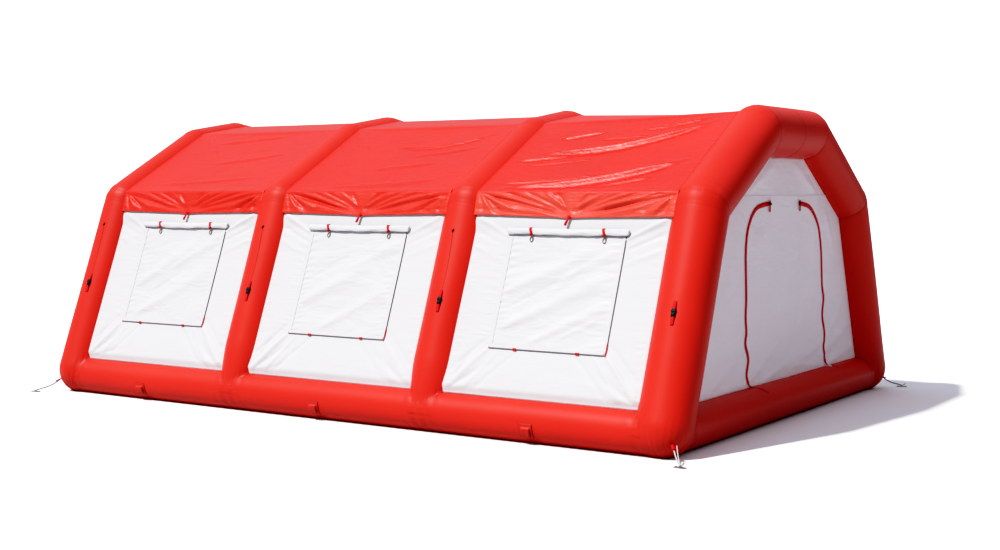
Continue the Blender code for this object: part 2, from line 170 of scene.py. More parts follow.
class Graph:
    """The nodes of a material or of the world's light. Every node comes from node()."""

    def __init__(self, tree):
        self.tree = tree
        self.tree.nodes.clear()

    def node(self, kind, settings=None, values=None, out=0):
        """Adds a node with its settings, its inputs' values or links, and returns one output."""
        made = self.tree.nodes.new(kind)
        for key, value in (settings or {}).items():
            setattr(made, key, value)
        for key, value in (values or {}).items():
            socket = made.inputs[key]
            if isinstance(value, Value):
                self.tree.links.new(value.socket, socket)
            else:
                socket.default_value = value
        return Value(self, made.outputs[out]) if len(made.outputs) else None

    def parts(self, vector):
        """A vector's X, Y and Z."""
        first = self.node("ShaderNodeSeparateXYZ", None, {"Vector": vector})
        return [Value(self, socket) for socket in first.socket.node.outputs]

    def mapped(self, coords, scale, turn=0.0):
        """Coordinates scaled and turned about Z."""
        values = {"Vector": coords, "Scale": scale, "Rotation": (0.0, 0.0, turn)}
        return self.node("ShaderNodeMapping", None, values)

    def place(self, scale=(1.0, 1.0, 1.0)):
        """Place on the object."""
        return self.mapped(self.node("ShaderNodeTexCoord", out="Object"), scale)

    def cloth_uv(self, scale=(1.0, 1.0, 1.0), turn=0.0):
        """Place on the flat cloth, in metres."""
        return self.mapped(self.node("ShaderNodeUVMap", {"uv_map": "cloth"}), scale, turn)

    def noise(self, vector, scale, detail=3.0, roughness=0.5, distortion=0.0):
        """Smooth noise from 0 to 1."""
        return self.node("ShaderNodeTexNoise", None, {"Vector": vector, "Scale": scale, "Detail": detail,
                                                      "Roughness": roughness, "Distortion": distortion})

    def grain(self, scale):
        """Fine even noise."""
        return self.noise(self.place(), scale, 2.0)

    def bands(self, way, scale):
        """Soft stripes on the cloth."""
        return self.node("ShaderNodeTexWave", {"bands_direction": way},
                         {"Vector": self.cloth_uv(), "Scale": scale})

    def rows(self, pitch, low, high):
        """Teeth or stitches along a tape, one to each pitch."""
        return self.ramp((self.parts(self.cloth_uv())[1] * (TAU / pitch)).math("SINE"), low, high)

    def weave(self, pitch, depth):
        """Plain weave: two crossed sine ridges of one thread's pitch."""
        across, along, _ = self.parts(self.cloth_uv())
        k = TAU / pitch
        return (across * k).math("SINE") * (along * k).math("SINE") * depth

    def ramp(self, factor, low, high):
        """0 below low, 1 above high, eased between."""
        return self.node("ShaderNodeMapRange", {"interpolation_type": "SMOOTHSTEP"},
                         {"Value": factor, "From Min": low, "From Max": high})

    def mix(self, factor, a, b):
        """Colour a at 0, b at 1."""
        return self.node("ShaderNodeMix", {"data_type": "RGBA"}, {0: factor, 6: a, 7: b}, out=2)

    def tones(self, factor, colour, low, high):
        """From low to high times the colour's brightness."""
        return self.mix(factor, shade(colour, low), shade(colour, high))

    def attribute(self, name):
        """A value that the mesh holds at its points."""
        return self.node("ShaderNodeAttribute", {"attribute_name": name}, out="Fac")

    def finish(self, colour, roughness, height=None, specular=0.5, metallic=0.0):
        """The surface's shader; height, in metres, is its bump."""
        values = {"Base Color": colour, "Roughness": roughness, "Specular IOR Level": specular,
                  "Metallic": metallic}
        if height is not None:
            values["Normal"] = self.node("ShaderNodeBump", None,
                                         {"Height": height, "Distance": 1.0, "Strength": 1.0})
        bsdf = self.node("ShaderNodeBsdfPrincipled", None, values)
        self.node("ShaderNodeOutputMaterial", None, {"Surface": bsdf})


# --- materials ------------------------------------------------------------------------------------
MATERIALS = {}
SLOTS = {}


def material(make):
    """The material that a graph function makes, made once and named for it."""
    name = make.__name__
    if name not in MATERIALS:
        mat = bpy.data.materials.new(name)
        mat.use_nodes = True
        make(Graph(mat.node_tree))
        MATERIALS[name] = mat
    return MATERIALS[name]


def in_slot(slot):
    """Notes the slot that a material's pieces take."""
    def note(make):
        SLOTS[make] = slot
        return make
    return note


@in_slot("red_coated_fabric")
def tube_skin(g):
    """Air-tight coated cloth: satin red, faintly uneven, puckered at its seams and a little darker there, with
    painted shade on the inside of the knees and where the tubes meet.
    """
    c = colours().tube
    big = g.grain(1.1)
    ripple = g.noise(g.cloth_uv((34.0, 5.0, 1.0)), 1.0, 2.0)
    seams_and_painted_shade = g.attribute("pucker")
    # Painted shade: the pucker mask darkens the red to three quarters at the seams, on the inside of the knees
    # and where the tubes meet.
    colour = g.mix(seams_and_painted_shade * 0.34, g.tones(g.ramp(big, 0.35, 0.7), c, 0.96, 1.03), shade(c, 0.75))
    height = g.grain(4.0) * 0.0016 + g.grain(420.0) * 0.00006 + ripple * seams_and_painted_shade * 0.005
    g.finish(colour, 0.42 + big * 0.08, height, 0.19)


@in_slot("red_roof_fabric")
def roof_cloth(g):
    """Thin coated roof cloth: glossier than the tubes, finely crumpled along its slope; its valance is painted
    lighter and more orange, a painted highlight for the sun on its folds.
    """
    c = colours().roof
    crumple = g.noise(g.cloth_uv((1.6, 7.0, 1.0), 0.16), 1.5, 4.0, 0.6, 0.7)
    small = g.noise(g.cloth_uv((3.5, 26.0, 1.0), 0.22), 1.3, 3.0, 0.6, 0.5)
    mottled = g.noise(g.cloth_uv(), 1.3)
    lines = g.ramp(abs(small - 0.5), 0.10, 0.0)
    colour = g.tones(g.ramp(mottled, 0.3, 0.75), c, 0.95, 1.04)
    # Painted light: the valance is mixed towards a lighter, orange red, standing in for sunlight caught by its
    # many folds.
    colour = g.mix(g.attribute("valance") * 0.75, colour, (c[0] * 1.10, c[1] * 3.4, c[2] * 3.6, 1.0))
    height = crumple * 0.006 + lines * 0.0007 + small * 0.0009 + g.weave(0.0022, 0.00005)
    g.finish(colour, 0.29 + mottled * 0.08, height, 0.27)


@in_slot("white_fabric")
def white_cloth(g):
    """Thin white coated cloth: soft slanting wrinkles, gathers along its edges and a fine weave."""
    crumple = g.noise(g.cloth_uv((1.6, 4.2, 1.0), 0.65), 1.5, 3.0, 0.5, 0.6)
    gather = g.noise(g.cloth_uv((1.4, 30.0, 1.0)), 1.0, 2.0) * (g.attribute("gather") * 0.011 + 0.0004)
    colour = g.tones(g.noise(g.cloth_uv(), 2.0), colours().white, 0.975, 1.02)
    g.finish(colour, 0.55, crumple * 0.0060 + gather + g.weave(0.0022, 0.00006), 0.25)


@in_slot("white_fabric")
def end_cloth(g):
    """White cloth of the end walls, softly creased; its tone follows the creases' height, painted shade in
    their hollows and painted light on their crests.
    """
    crumple = g.noise(g.cloth_uv((1.2, 2.6, 1.0), 0.45), 1.3, 3.0, 0.5, 0.8)
    small = g.noise(g.cloth_uv((3.0, 9.0, 1.0), 0.3), 1.3, 3.0, 0.55, 0.4)
    height = crumple * 0.022 + small * 0.006 + g.weave(0.0022, 0.00006)
    # Painted shade: the colour follows the crease height, darker in the hollows, lighter on the crests.
    g.finish(g.tones(crumple, colours().end, 0.97, 1.04), 0.55, height, 0.15)


@in_slot("window_fabric")
def window_cloth(g):
    """Window cloth: smoother than the panels, slack and creased aslant; its tone follows the creases' height,
    painted shade in their hollows and painted light on their crests.
    """
    crumple = g.noise(g.cloth_uv((1.3, 3.4, 1.0), -0.62), 1.5, 3.0, 0.5, 0.7)
    lines = g.noise(g.cloth_uv((1.5, 12.0, 1.0), -0.55), 1.2, 2.0, 0.5, 0.5)
    height = crumple * 0.023 + lines * 0.004 + g.weave(0.0016, 0.00005)
    # Painted shade: the colour follows the crease height, darker in the hollows, lighter on the crests.
    g.finish(g.tones(crumple, colours().window, 0.97, 1.03), 0.45, height, 0.25)


@in_slot("red_coated_fabric")
def patch_cloth(g):
    """A welded patch: the tube's cloth, darkened along its border, partly its stitching and partly painted
    shadow, and with painted shadow under its pocket's rim.
    """
    rim = g.attribute("pucker")
    # Painted shadow: the pucker mask darkens the border band and the pocket's lower rim to a sixth of the red.
    g.finish(g.tones(rim, colours().tube, 0.92, 0.16), 0.48, g.grain(260.0) * 0.0002 + rim * -0.0010, 0.22)


@in_slot("red_tape")
def red_tape(g):
    """Ribbed woven tape."""
    ribs, grain = g.bands("Y", 140.0), g.grain(300.0)
    colour = g.tones(ribs * 0.5 + grain * 0.3, colours().tape, 0.80, 1.12)
    g.finish(colour, 0.62, ribs * 0.0004 + grain * 0.0002, 0.25)


@in_slot("red_tape")
def dark_tape(g):
    """Dark red zip tape with closed teeth along its middle."""
    teeth = g.rows(0.006, -0.2, 0.4)
    colour = g.tones(teeth * 0.5 + g.grain(240.0) * 0.4, colours().tape, 0.85, 1.25)
    g.finish(colour, 0.55, teeth * 0.0006, 0.25)


@in_slot("grey_cord")
def dark_line(g):
    """Thin dark cord laid against the red skin."""
    grain = g.grain(200.0)
    g.finish(g.mix(grain, (0.22, 0.010, 0.010, 1.0), (0.32, 0.014, 0.014, 1.0)), 0.7, grain * 0.0002)


@in_slot("flap_fabric")
def pale_tape(g):
    """White edge tape with a row of stitches along its middle."""
    stitch, grain = g.rows(0.009, 0.1, 0.5), g.grain(260.0)
    colour = g.tones(stitch * 0.35 + grain * 0.2, colours().white, 1.04, 0.86)
    g.finish(colour, 0.6, stitch * 0.0004 + grain * 0.0002, 0.25)


@in_slot("black_plastic")
def grey_zip(g):
    """Closed zip seen from outside: grey coil teeth between two dark edges."""
    teeth = g.rows(0.004, -0.3, 0.3)
    colour = g.mix(teeth * 0.6 + g.grain(200.0) * 0.3, (0.10, 0.10, 0.115, 1.0), (0.26, 0.25, 0.28, 1.0))
    g.finish(colour, 0.55, teeth * 0.0005, 0.35)


@in_slot("grey_cord")
def pale_webbing(g):
    """Off-white woven webbing of the near right anchor."""
    ribs = g.bands("Y", 120.0)
    colour = g.mix(ribs * 0.5 + g.grain(300.0) * 0.4, (0.62, 0.59, 0.56, 1.0), (0.40, 0.38, 0.36, 1.0))
    g.finish(colour, 0.7, ribs * 0.0005, 0.25)


@in_slot("black_plastic")
def black_plastic(g):
    """Moulded buckle plastic."""
    grain = g.grain(260.0)
    g.finish(g.tones(grain, colours().black, 0.8, 1.3), 0.48 + grain * 0.15, grain * 0.0001, 0.25)


@in_slot("grey_cord")
def grey_cord(g):
    """Braided cord: diagonal strands."""
    braid = g.bands("DIAGONAL", 60.0)
    g.finish(g.tones(braid * 0.8 + g.grain(300.0) * 0.2, colours().cord, 0.65, 1.2), 0.8, braid * 0.0006)


@in_slot("peg_steel")
def peg_steel(g):
    """Plain flat steel, lightly scratched."""
    grain = g.noise(g.place((1.0, 14.0, 1.0)), 60.0)
    g.finish(g.tones(grain, colours().steel, 0.7, 1.2), 0.32 + grain * 0.2, grain * 0.0002, metallic=0.9)


def pale_floor(g):
    """Plain pale floor, white to look at; it sends less light back up, as a darker ground would."""
    seen = g.node("ShaderNodeLightPath", out="Is Camera Ray")
    g.finish(g.mix(seen, (0.53, 0.54, 0.55, 1.0), (0.93, 0.96, 0.97, 1.0)), 0.9)


# --- meshes ---------------------------------------------------------------------------------------
def stack(*values):
    """Arrays broadcast together, side by side along a new last axis."""
    return np.stack(np.broadcast_arrays(*values), -1)


def mesh_piece(name, points, uv, make, slot=None, wrap=False, weld=False, flip=False, keep=None, **values):
    """A mesh object from a grid of points (rows, columns, 3); uv is its flat cloth's place in metres.

    wrap joins the last column to the first, weld joins points that meet, flip turns the faces over,
    keep picks the cells, and the named values become attributes, one value per point.
    """
    rows, cols = points.shape[:2]
    j, i = np.meshgrid(np.arange(rows - 1), np.arange(cols if wrap else cols - 1), indexing="ij")
    k = (i + 1) % cols
    quads = stack(j * cols + i, j * cols + k, (j + 1) * cols + k, (j + 1) * cols + i)
    quads = quads.reshape(-1, 4) if keep is None else quads[keep]
    corners = (quads[:, ::-1] if flip else quads).ravel()
    mesh = bpy.data.meshes.new(name)
    mesh.vertices.add(rows * cols)
    mesh.vertices.foreach_set("co", points.astype(np.float32).ravel())
    mesh.loops.add(corners.size)
    mesh.loops.foreach_set("vertex_index", corners.astype(np.int32))
    mesh.polygons.add(len(quads))
    mesh.polygons.foreach_set("loop_start", np.arange(0, corners.size, 4, dtype=np.int32))
    mesh.update(calc_edges=True)
    layer = mesh.uv_layers.new(name="cloth")
    layer.data.foreach_set("uv", stack(*uv).reshape(-1, 2)[corners].astype(np.float32).ravel())
    for key, value in values.items():
        made = mesh.attributes.new(key, "FLOAT", "POINT")
        made.data.foreach_set("value", np.broadcast_to(value, (rows, cols)).astype(np.float32).ravel())
    mesh.validate()
    if wrap:
        bm = bmesh.new()
        bm.from_mesh(mesh)
        if weld:
            bmesh.ops.remove_doubles(bm, verts=bm.verts, dist=1e-5)
        bmesh.ops.recalc_face_normals(bm, faces=bm.faces)
        bm.to_mesh(mesh)
        bm.free()
    mesh.shade_smooth()
    mesh.materials.append(material(make))
    ob = bpy.data.objects.new(name, mesh)
    bpy.context.scene.collection.objects.link(ob)
    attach(ob, BODY)
    slot or SLOTS[make]
    return ob


def thicken(ob, thick):
    """Gives a sheet its thickness, half to each side."""
    mod = ob.modifiers.new("cloth", "SOLIDIFY")
    mod.thickness = thick
    mod.offset = 0.0
    mod.use_rim = True


def ease(t):
    """0 to 1 with soft ends: t*t*(3 - 2t)."""
    t = np.clip(t, 0.0, 1.0)
    return t * t * (3.0 - 2.0 * t)


def bell(t):
    """A soft bump of height 1 about zero: exp(-t*t)."""
    return np.exp(-np.square(t))


def ring_angles(count):
    """Angles evenly round a ring."""
    return TAU * np.arange(count) / count


# --- the shelter's lines --------------------------------------------------------------------------
def arch_xs():
    """X of the four arches."""
    return [(i - 1.5) * sizes().bay for i in range(4)]


def bay_place(i, side):
    """Middle of bay i along X, and the tag of its pieces on a long side."""
    return (i - 1) * sizes().bay, f"{SIDES[side]}_{i + 1}"


def base_z():
    """Height of the base tubes' centres: their flats rest on the ground."""
    return sizes().base_r * math.cos(math.pi / 16)


def wall_dirs():
    """Unit directions up a front leg and out of the front wall, in (y, z)."""
    s = sizes()
    up = np.array([s.leg_y - s.knee_y, s.knee_z - base_z()])
    up /= np.hypot(*up)
    return up, np.array([-up[1], up[0]])


def wall_axes(side):
    """Unit directions up a long wall and out of it, in space."""
    return [np.array([0.0, -side * y, z]) for y, z in wall_dirs()]


def wall_xyz(side, x, s, out):
    """Points of a long wall: x, s up the wall from the base centre, out from the leg line."""
    up, outward = wall_dirs()
    y = -sizes().leg_y + up[0] * s + outward[0] * out
    return stack(x, y * -side, base_z() + up[1] * s + outward[1] * out)


def wall_line(side, mid, rows):
    """Points of a long wall's line given as (x from the bay's middle, s, out) rows."""
    q = np.asarray(rows, float)
    return wall_xyz(side, mid + q[:, 0], q[:, 1], q[:, 2])


def arch_corners(i):
    """Corners of arch i's centre line from the front foot to the back foot, in (y, z)."""
    s = sizes()
    top = [(-s.flat_y, s.flat_z), (0.0, s.flat_z)] if i == 3 else [(-s.top_y, s.top_z), (0.0, s.apex_z)]
    half = [(-s.leg_y, base_z()), (-s.knee_y, s.knee_z)] + top
    return np.array(half + [(-y, z) for y, z in half[-2::-1]])


def foot_centre():
    """Front foot centre of a gable leg: on the leg's line, just under one radius over the ground."""
    up, _ = wall_dirs()
    z = sizes().arch_r - 0.004
    return np.array([-sizes().leg_y + up[0] * (z - base_z()) / up[1], z])


def leg_radius(s):
    """A middle leg narrows towards the base tube."""
    foot = 0.93 * sizes().base_r
    t = np.clip(s / 0.45, 0.0, 1.0)
    return sizes().arch_r - (sizes().arch_r - foot) * (1.0 - t) ** 2


def lateral(radius, out):
    """Half chord of a tube at this height over its centre line, a little inside its skin."""
    return np.sqrt(np.maximum(radius ** 2 - np.square(out), 0.0)) - 0.006


def beside(line, out):
    """The line moved outwards, mitred at its corners."""
    t = np.diff(line, axis=0)
    t /= np.hypot(t[:, 0], t[:, 1])[:, None]
    n = np.column_stack([-t[:, 1], t[:, 0]])
    m = np.vstack([n[:1], n[:-1] + n[1:], n[-1:]])
    m /= np.hypot(m[:, 0], m[:, 1])[:, None]
    cosine = np.einsum("ij,ij->i", m, np.vstack([n[:1], n]))
    return line + m * (out / cosine)[:, None]


# --- distance to the air tubes --------------------------------------------------------------------
def capsule(p, a, b, radius):
    """Signed distance to a round-ended rod and its direction; radius may be a function of length."""
    d = b - a
    length = np.linalg.norm(d)
    t = np.clip((p - a) @ d / length ** 2, 0.0, 1.0)
    away = p - (a + t[..., None] * d)
    dist = np.linalg.norm(away, axis=-1)
    r = radius(t * length) if callable(radius) else radius
    return dist - r, away / np.maximum(dist, 1e-9)[..., None]


def arch_rods(i):
    """The straight rods of arch i as (start, end, radius); the legs of a middle arch narrow."""
    line = arch_line(i)
    pts = np.column_stack([np.full(len(line), arch_xs()[i]), line])
    rods = [[pts[k], pts[k + 1], sizes().arch_r] for k in range(len(pts) - 1)]
    rods[-1][:2] = rods[-1][1::-1]
    if i in (1, 2):
        rods[0][2] = rods[-1][2] = leg_radius
    return [tuple(rod) for rod in rods]


def base_rods():
    """The four base tubes: front, back, left, right."""
    xs, y, z = arch_xs(), sizes().leg_y, base_z()
    ends = {"front": (0, -y, 3, -y), "back": (0, y, 3, y), "left": (0, -y, 0, y), "right": (3, -y, 3, y)}
    return {key: (np.array([xs[a], ya, z]), np.array([xs[b], yb, z]), sizes().base_r)
            for key, (a, ya, b, yb) in ends.items()}


def nearest(p, rods):
    """Distance and direction to the nearest of several rods."""
    best, way = capsule(p, *rods[0])
    for rod in rods[1:]:
        f, n = capsule(p, *rod)
        closer = f < best
        best = np.where(closer, f, best)
        way = np.where(closer[..., None], n, way)
    return best, way


def gap_to(p, groups):
    """Distance to the nearest of several groups of rods."""
    return np.min([nearest(p, rods)[0] for rods in groups], axis=0)


def settle(p, groups, blend, steps=5):
    """Moves points onto the soft union of several groups of rods: exponential blend of distances."""
    for _ in range(steps):
        found = [nearest(p, rods) for rods in groups]
        f = np.stack([x[0] for x in found], -1)
        low = f.min(-1, keepdims=True)
        w = np.exp(-(f - low) / blend)
        total = w.sum(-1, keepdims=True)
        value = low[..., 0] - blend * np.log(total[..., 0])
        w /= total
        n = sum(w[..., k:k + 1] * found[k][1] for k in range(len(groups)))
        n /= np.maximum(np.linalg.norm(n, axis=-1, keepdims=True), 1e-6)
        p = p - value[..., None] * n
    return p, n


def stepped(stops):
    """Positions with a spacing of their own between each pair of stops: (place, spacing) rows."""
    parts = [np.array([stops[0][0]])]
    for (a, gap), (b, _) in zip(stops[:-1], stops[1:]):
        parts.append(np.linspace(a, b, max(int(round((b - a) / gap)), 1) + 1)[1:])
    return np.concatenate(parts)


def arch_line(i):
    """Centre line of arch i in (y, z); a gable arch starts and ends at its round feet."""
    line = arch_corners(i)
    if i in (0, 3):
        foot = foot_centre()
        line = np.vstack([foot, line[1:-1], foot * (-1, 1)])
    return line


# --- air tubes ------------------------------------------------------------------------------------
AROUND = 64         # points round a tube
BLEND = 0.010       # softness of the tubes' meeting, in metres
LEG_REACH = 0.9     # length over which a middle leg is fitted to the base tube
TUCK = 0.05         # how far a skin reaches inside the tube it meets
WELD_LAP = 0.004    # how far one skin dips under the other at a weld


def arch_rows(i):
    """Arch i as rings: close together near the feet and knees, tilted there so that none cross.

    Returns the points, the angles round a ring, each ring's length along the centre line, its
    distances to the line's corners, and the line's whole length.
    """
    r = sizes().arch_r
    line = arch_line(i)
    step = np.diff(line, axis=0)
    length = np.hypot(*step.T)
    t = step / length[:, None]
    n = np.column_stack([-t[:, 1], t[:, 0]])
    bend = np.zeros(len(line))
    bend[1:-1] = np.tan(0.5 * np.arcsin(t[:-1, 1] * t[1:, 0] - t[:-1, 0] * t[1:, 1]))
    a = ring_angles(AROUND)
    last = len(length) - 1
    cap = np.radians(np.linspace(-90, -6, 15))    # a round foot, from its pole up
    rings = []
    for k, size in enumerate(length):
        if size < 0.8:
            stops = [(0, 0.007), (0.04, 0.016), (size - 0.04, 0.007), (size, 0.007)]
        else:
            low, low_gap = (0.55, 0.014) if k == 0 else (0.2, 0.006)
            high, high_gap = (0.55, 0.014) if k == last else (0.2, 0.006)
            stops = [(0, low_gap), (0.04, 0.014), (low, 0.05), (size - high, 0.014), (size - 0.04, high_gap),
                     (size, 0.014)]
        places = stepped(stops)[:None if k == last else -1]
        rings.append((np.full(len(places), k), places, np.full(len(places), r)))
    if i in (0, 3):
        foot = np.zeros(len(cap), int)
        rings.insert(0, (foot, np.sin(cap) * r, np.cos(cap) * r))
        rings.append((foot + last, length[-1] - np.sin(cap[::-1]) * r, np.cos(cap[::-1]) * r))
    seg, d, rad = (np.concatenate(column) for column in zip(*rings))
    reach = 0.26    # the rings tilt over this length beside a corner
    start = np.clip(1 - np.clip(d, 0, None) / reach, 0, 1) ** 2 * bend[seg]
    end = np.clip(1 - np.clip(length[seg] - d, 0, None) / reach, 0, 1) ** 2 * bend[seg + 1]
    tilt = (end - start)[:, None] * rad[:, None] * np.sin(a)
    yz = (line[seg] + t[seg] * d[:, None])[:, None, :]
    yz = yz + n[seg][:, None, :] * (rad[:, None] * np.sin(a))[..., None] + t[seg][:, None, :] * tilt[..., None]
    p = stack(arch_xs()[i] + rad[:, None] * np.cos(a), yz[..., 0], yz[..., 1])
    starts = np.concatenate([[0.0], np.cumsum(length)])
    s_all = starts[seg] + d
    return p, a, s_all, s_all[:, None] - starts[None, 1:-1], starts[-1]


def leg_start(i, a, host):
    """For each angle round a middle leg, the length at which it leaves the base tube, less a lap."""
    s = np.linspace(0.0, LEG_REACH, 400)
    r = leg_radius(s)[:, None]
    probe = wall_xyz(-1, arch_xs()[i] + r * np.cos(a), s[:, None], r * np.sin(a))
    first = np.argmax(capsule(probe, *host)[0] > 0, axis=0)
    return np.maximum(s[first] - TUCK, 0.0)


def weld_side(f, into):
    """At a welded joint the two skins cross over: one dips under the other over about 25 mm."""
    t = ease((f - 0.004) / 0.025)
    return -WELD_LAP * (t if into else 1 - t)


def arch_skin(i):
    """Arch i: rings on its centre line, settled on the soft union with the base tubes.

    A middle leg starts where it leaves the base tube, less a small lap; a gable leg has a round foot.
    Its skin moves by -seam - twin seam + pleats*cos(k*angle) near the corners.
    """
    p, a, s_all, to_knee, total = arch_rows(i)
    gable = i in (0, 3)
    base = base_rods()
    if not gable:
        s0 = leg_start(i, a, base["front"])
        for side, from_foot in ((-1, s_all), (1, total - s_all)):
            rows = np.where(from_foot < LEG_REACH)[0]
            along = s0 + (LEG_REACH - s0) * (from_foot[rows, None] / LEG_REACH)
            r = leg_radius(along)
            p[rows] = wall_xyz(side, arch_xs()[i] + r * np.cos(a), along, r * np.sin(a))
    groups = [arch_rods(i), [base["front"]], [base["back"]]]
    if gable:
        groups += [[base["left" if i == 0 else "right"]]]
    p, n = settle(p, groups, BLEND)
    own = nearest(p, groups[0])[0]
    crowd = bell(np.clip(gap_to(p, groups[1:]), 0, None) / 0.06) * (own < 0.03)
    bend = np.min(np.abs(to_knee), axis=1)[:, None]
    inner = np.clip(-np.sin(a), 0, 1)
    phase = 1.7 * i
    pleats = 0.6 * np.cos(13 * a + phase) + 0.4 * np.cos(23 * a + 2.1 * phase)
    seam = bell(bend / 0.010)
    twin = bell((bend - 0.085) / 0.012) * np.clip(0.3 + np.cos(a - 1.2), 0, 1)
    shift = -0.0042 * seam - 0.0030 * twin + 0.0026 * pleats * bell(bend / 0.06) * (0.45 + inner)
    shift = shift - 0.004 * inner ** 2 * bell(bend / 0.05) + 0.0012 * np.sin(3 * a + 4.0 * s_all[:, None])
    shift = shift + 0.0035 * crowd * np.sin(24 * a + phase) + weld_side(own, True)
    p = p + n * shift[..., None]
    p[..., 2] = np.maximum(p[..., 2], 0.0)
    # This mask also darkens the skin's colour: at the seams, and as painted shade on the inside of the knees
    # and where the tubes crowd together.
    pucker = 0.9 * seam + 0.6 * twin + bell(bend / 0.06) * (0.15 + 0.6 * inner) + 0.8 * crowd
    ob = mesh_piece(f"arch_skin_{i + 1}", p, (a * sizes().arch_r, s_all[:, None]), tube_skin, wrap=True,
                    weld=gable, pucker=np.clip(pucker, 0, 1))
    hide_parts(f"arch_{i + 1}")


def base_skin(key):
    """A base tube: rings along its line, from just inside the corner legs, on the soft union with them."""
    start, end, r = base_rods()[key]
    long_side = key in ("front", "back")
    a = ring_angles(AROUND)
    length = np.linalg.norm(end - start)
    t = (end - start) / length
    ring = np.cos(a)[:, None] * np.cross(t, (0, 0, 1.0)) + np.sin(a)[:, None] * np.array([0, 0, 1.0])
    legs = [0, 3] if long_side else [0 if key == "left" else 3] * 2
    s = np.linspace(0.0, 0.6, 300)
    begin = []
    for origin, way, leg in ((start, t, legs[0]), (end, -t, legs[1])):
        probe = (origin + way * s[:, None])[:, None, :] + r * ring
        first = np.argmax(nearest(probe, arch_rods(leg))[0] > 0, axis=0)
        begin.append(np.maximum(s[first] - TUCK, 0.0))
    middle = [(k * sizes().bay + beyond, gap) for k in (1, 2) for beyond, gap in ((-0.38, 0.016), (0.38, 0.06))]
    stops = [(0, 0.016), (0.6, 0.06)] + middle * long_side + [(length - 0.6, 0.016), (length, 0.016)]
    grow = stepped(stops)[:, None] / length
    d = begin[0] * (1 - grow) ** 8 + grow * length - begin[1] * grow ** 8
    p = start + t * d[..., None] + r * ring
    others = [arch_rods(i) for i in (range(4) if long_side else legs[:1])]
    cross = [[base_rods()[k]] for k in (("left", "right") if long_side else ("front", "back"))]
    groups = [[base_rods()[key]]] + others + cross
    moved, n = settle(p, groups, BLEND)
    keep = ease((gap_to(p, groups[1:]) + 0.11) / 0.05)[..., None]
    p = p * (1 - keep) + moved * keep
    gap = gap_to(p, others)
    crowd = bell(np.clip(gap, 0, None) / 0.07)
    shift = 0.0030 * crowd * np.sin(55 * d + 2 * a) * (gap > 0.01) + 0.0010 * np.sin(2 * a + 3 * d)
    shift = shift + weld_side(gap, False) - (0.0 if long_side else 0.001)
    p = p + n * shift[..., None] * keep
    p[..., 2] = np.maximum(p[..., 2], 0.0)
    # Its mask also darkens the colour near the legs: painted shade where the tubes meet.
    ob = mesh_piece(f"base_skin_{key}", p, (a * r, d), tube_skin, wrap=True, pucker=0.8 * crowd)
    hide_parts(f"base_{key}")


# --- cloths ---------------------------------------------------------------------------------------
def creases(u, v, table):
    """Sum of soft straight ridges: each row is start, end (in u, v), half width and height."""
    total = np.zeros(np.broadcast(u, v).shape)
    for u0, v0, u1, v1, wide, high in table:
        du, dv = u1 - u0, v1 - v0
        size = math.hypot(du, dv)
        along = ((u - u0) * du + (v - v0) * dv) / size ** 2
        off = ((u - u0) * dv - (v - v0) * du) / size
        fade = ease((along + 0.12) / 0.25) * ease((1.12 - along) / 0.25)
        total = total + high * bell(off / (wide * (0.6 + 0.8 * np.clip(along, 0, 1)))) * fade
    return total


def bowed_creases(x, d, table):
    """Narrow ridges, each on the parabola d = q(x) through three points, with a trough below it."""
    total = np.zeros(np.broadcast(x, d).shape)
    for x0, d0, x1, d1, x2, d2, wide, high in table:
        q = (d0 * (x - x1) * (x - x2) / ((x0 - x1) * (x0 - x2))
             + d1 * (x - x0) * (x - x2) / ((x1 - x0) * (x1 - x2))
             + d2 * (x - x0) * (x - x1) / ((x2 - x0) * (x2 - x1)))
        t = (x - x0) / (x2 - x0)
        fade = ease(t / 0.2) * ease((1 - t) / 0.25)
        off = (d - q) / (wide * (0.55 + 0.6 * np.sin(np.pi * np.clip(t, 0, 1))))
        total = total + high * fade * (bell(off) - 0.45 * bell((off - 2.4) / 1.6))
    return total


def fan(x, v, at, spread, count, reach, high, phase=0.0, squeeze=1.0):
    """Folds that spread like rays from the point at: high*cos(count*angle), fading with distance.

    squeeze divides x before the angle is taken, which bunches the rays along x.
    """
    dx, dv = x - at[0], v - at[1]
    far = np.hypot(dx, dv)
    angle = np.arctan2(dv, dx / squeeze)
    lo, hi = spread
    inside = ease((angle - lo) / 0.15) * ease((hi - angle) / 0.15)
    grow = ease(far / (0.25 * reach)) * ease((reach - far) / (0.6 * reach))
    ridge = np.cos(count * angle + phase)
    return high * (ridge - 0.35 * np.cos(2 * count * angle + 2 * phase)) * inside * grow


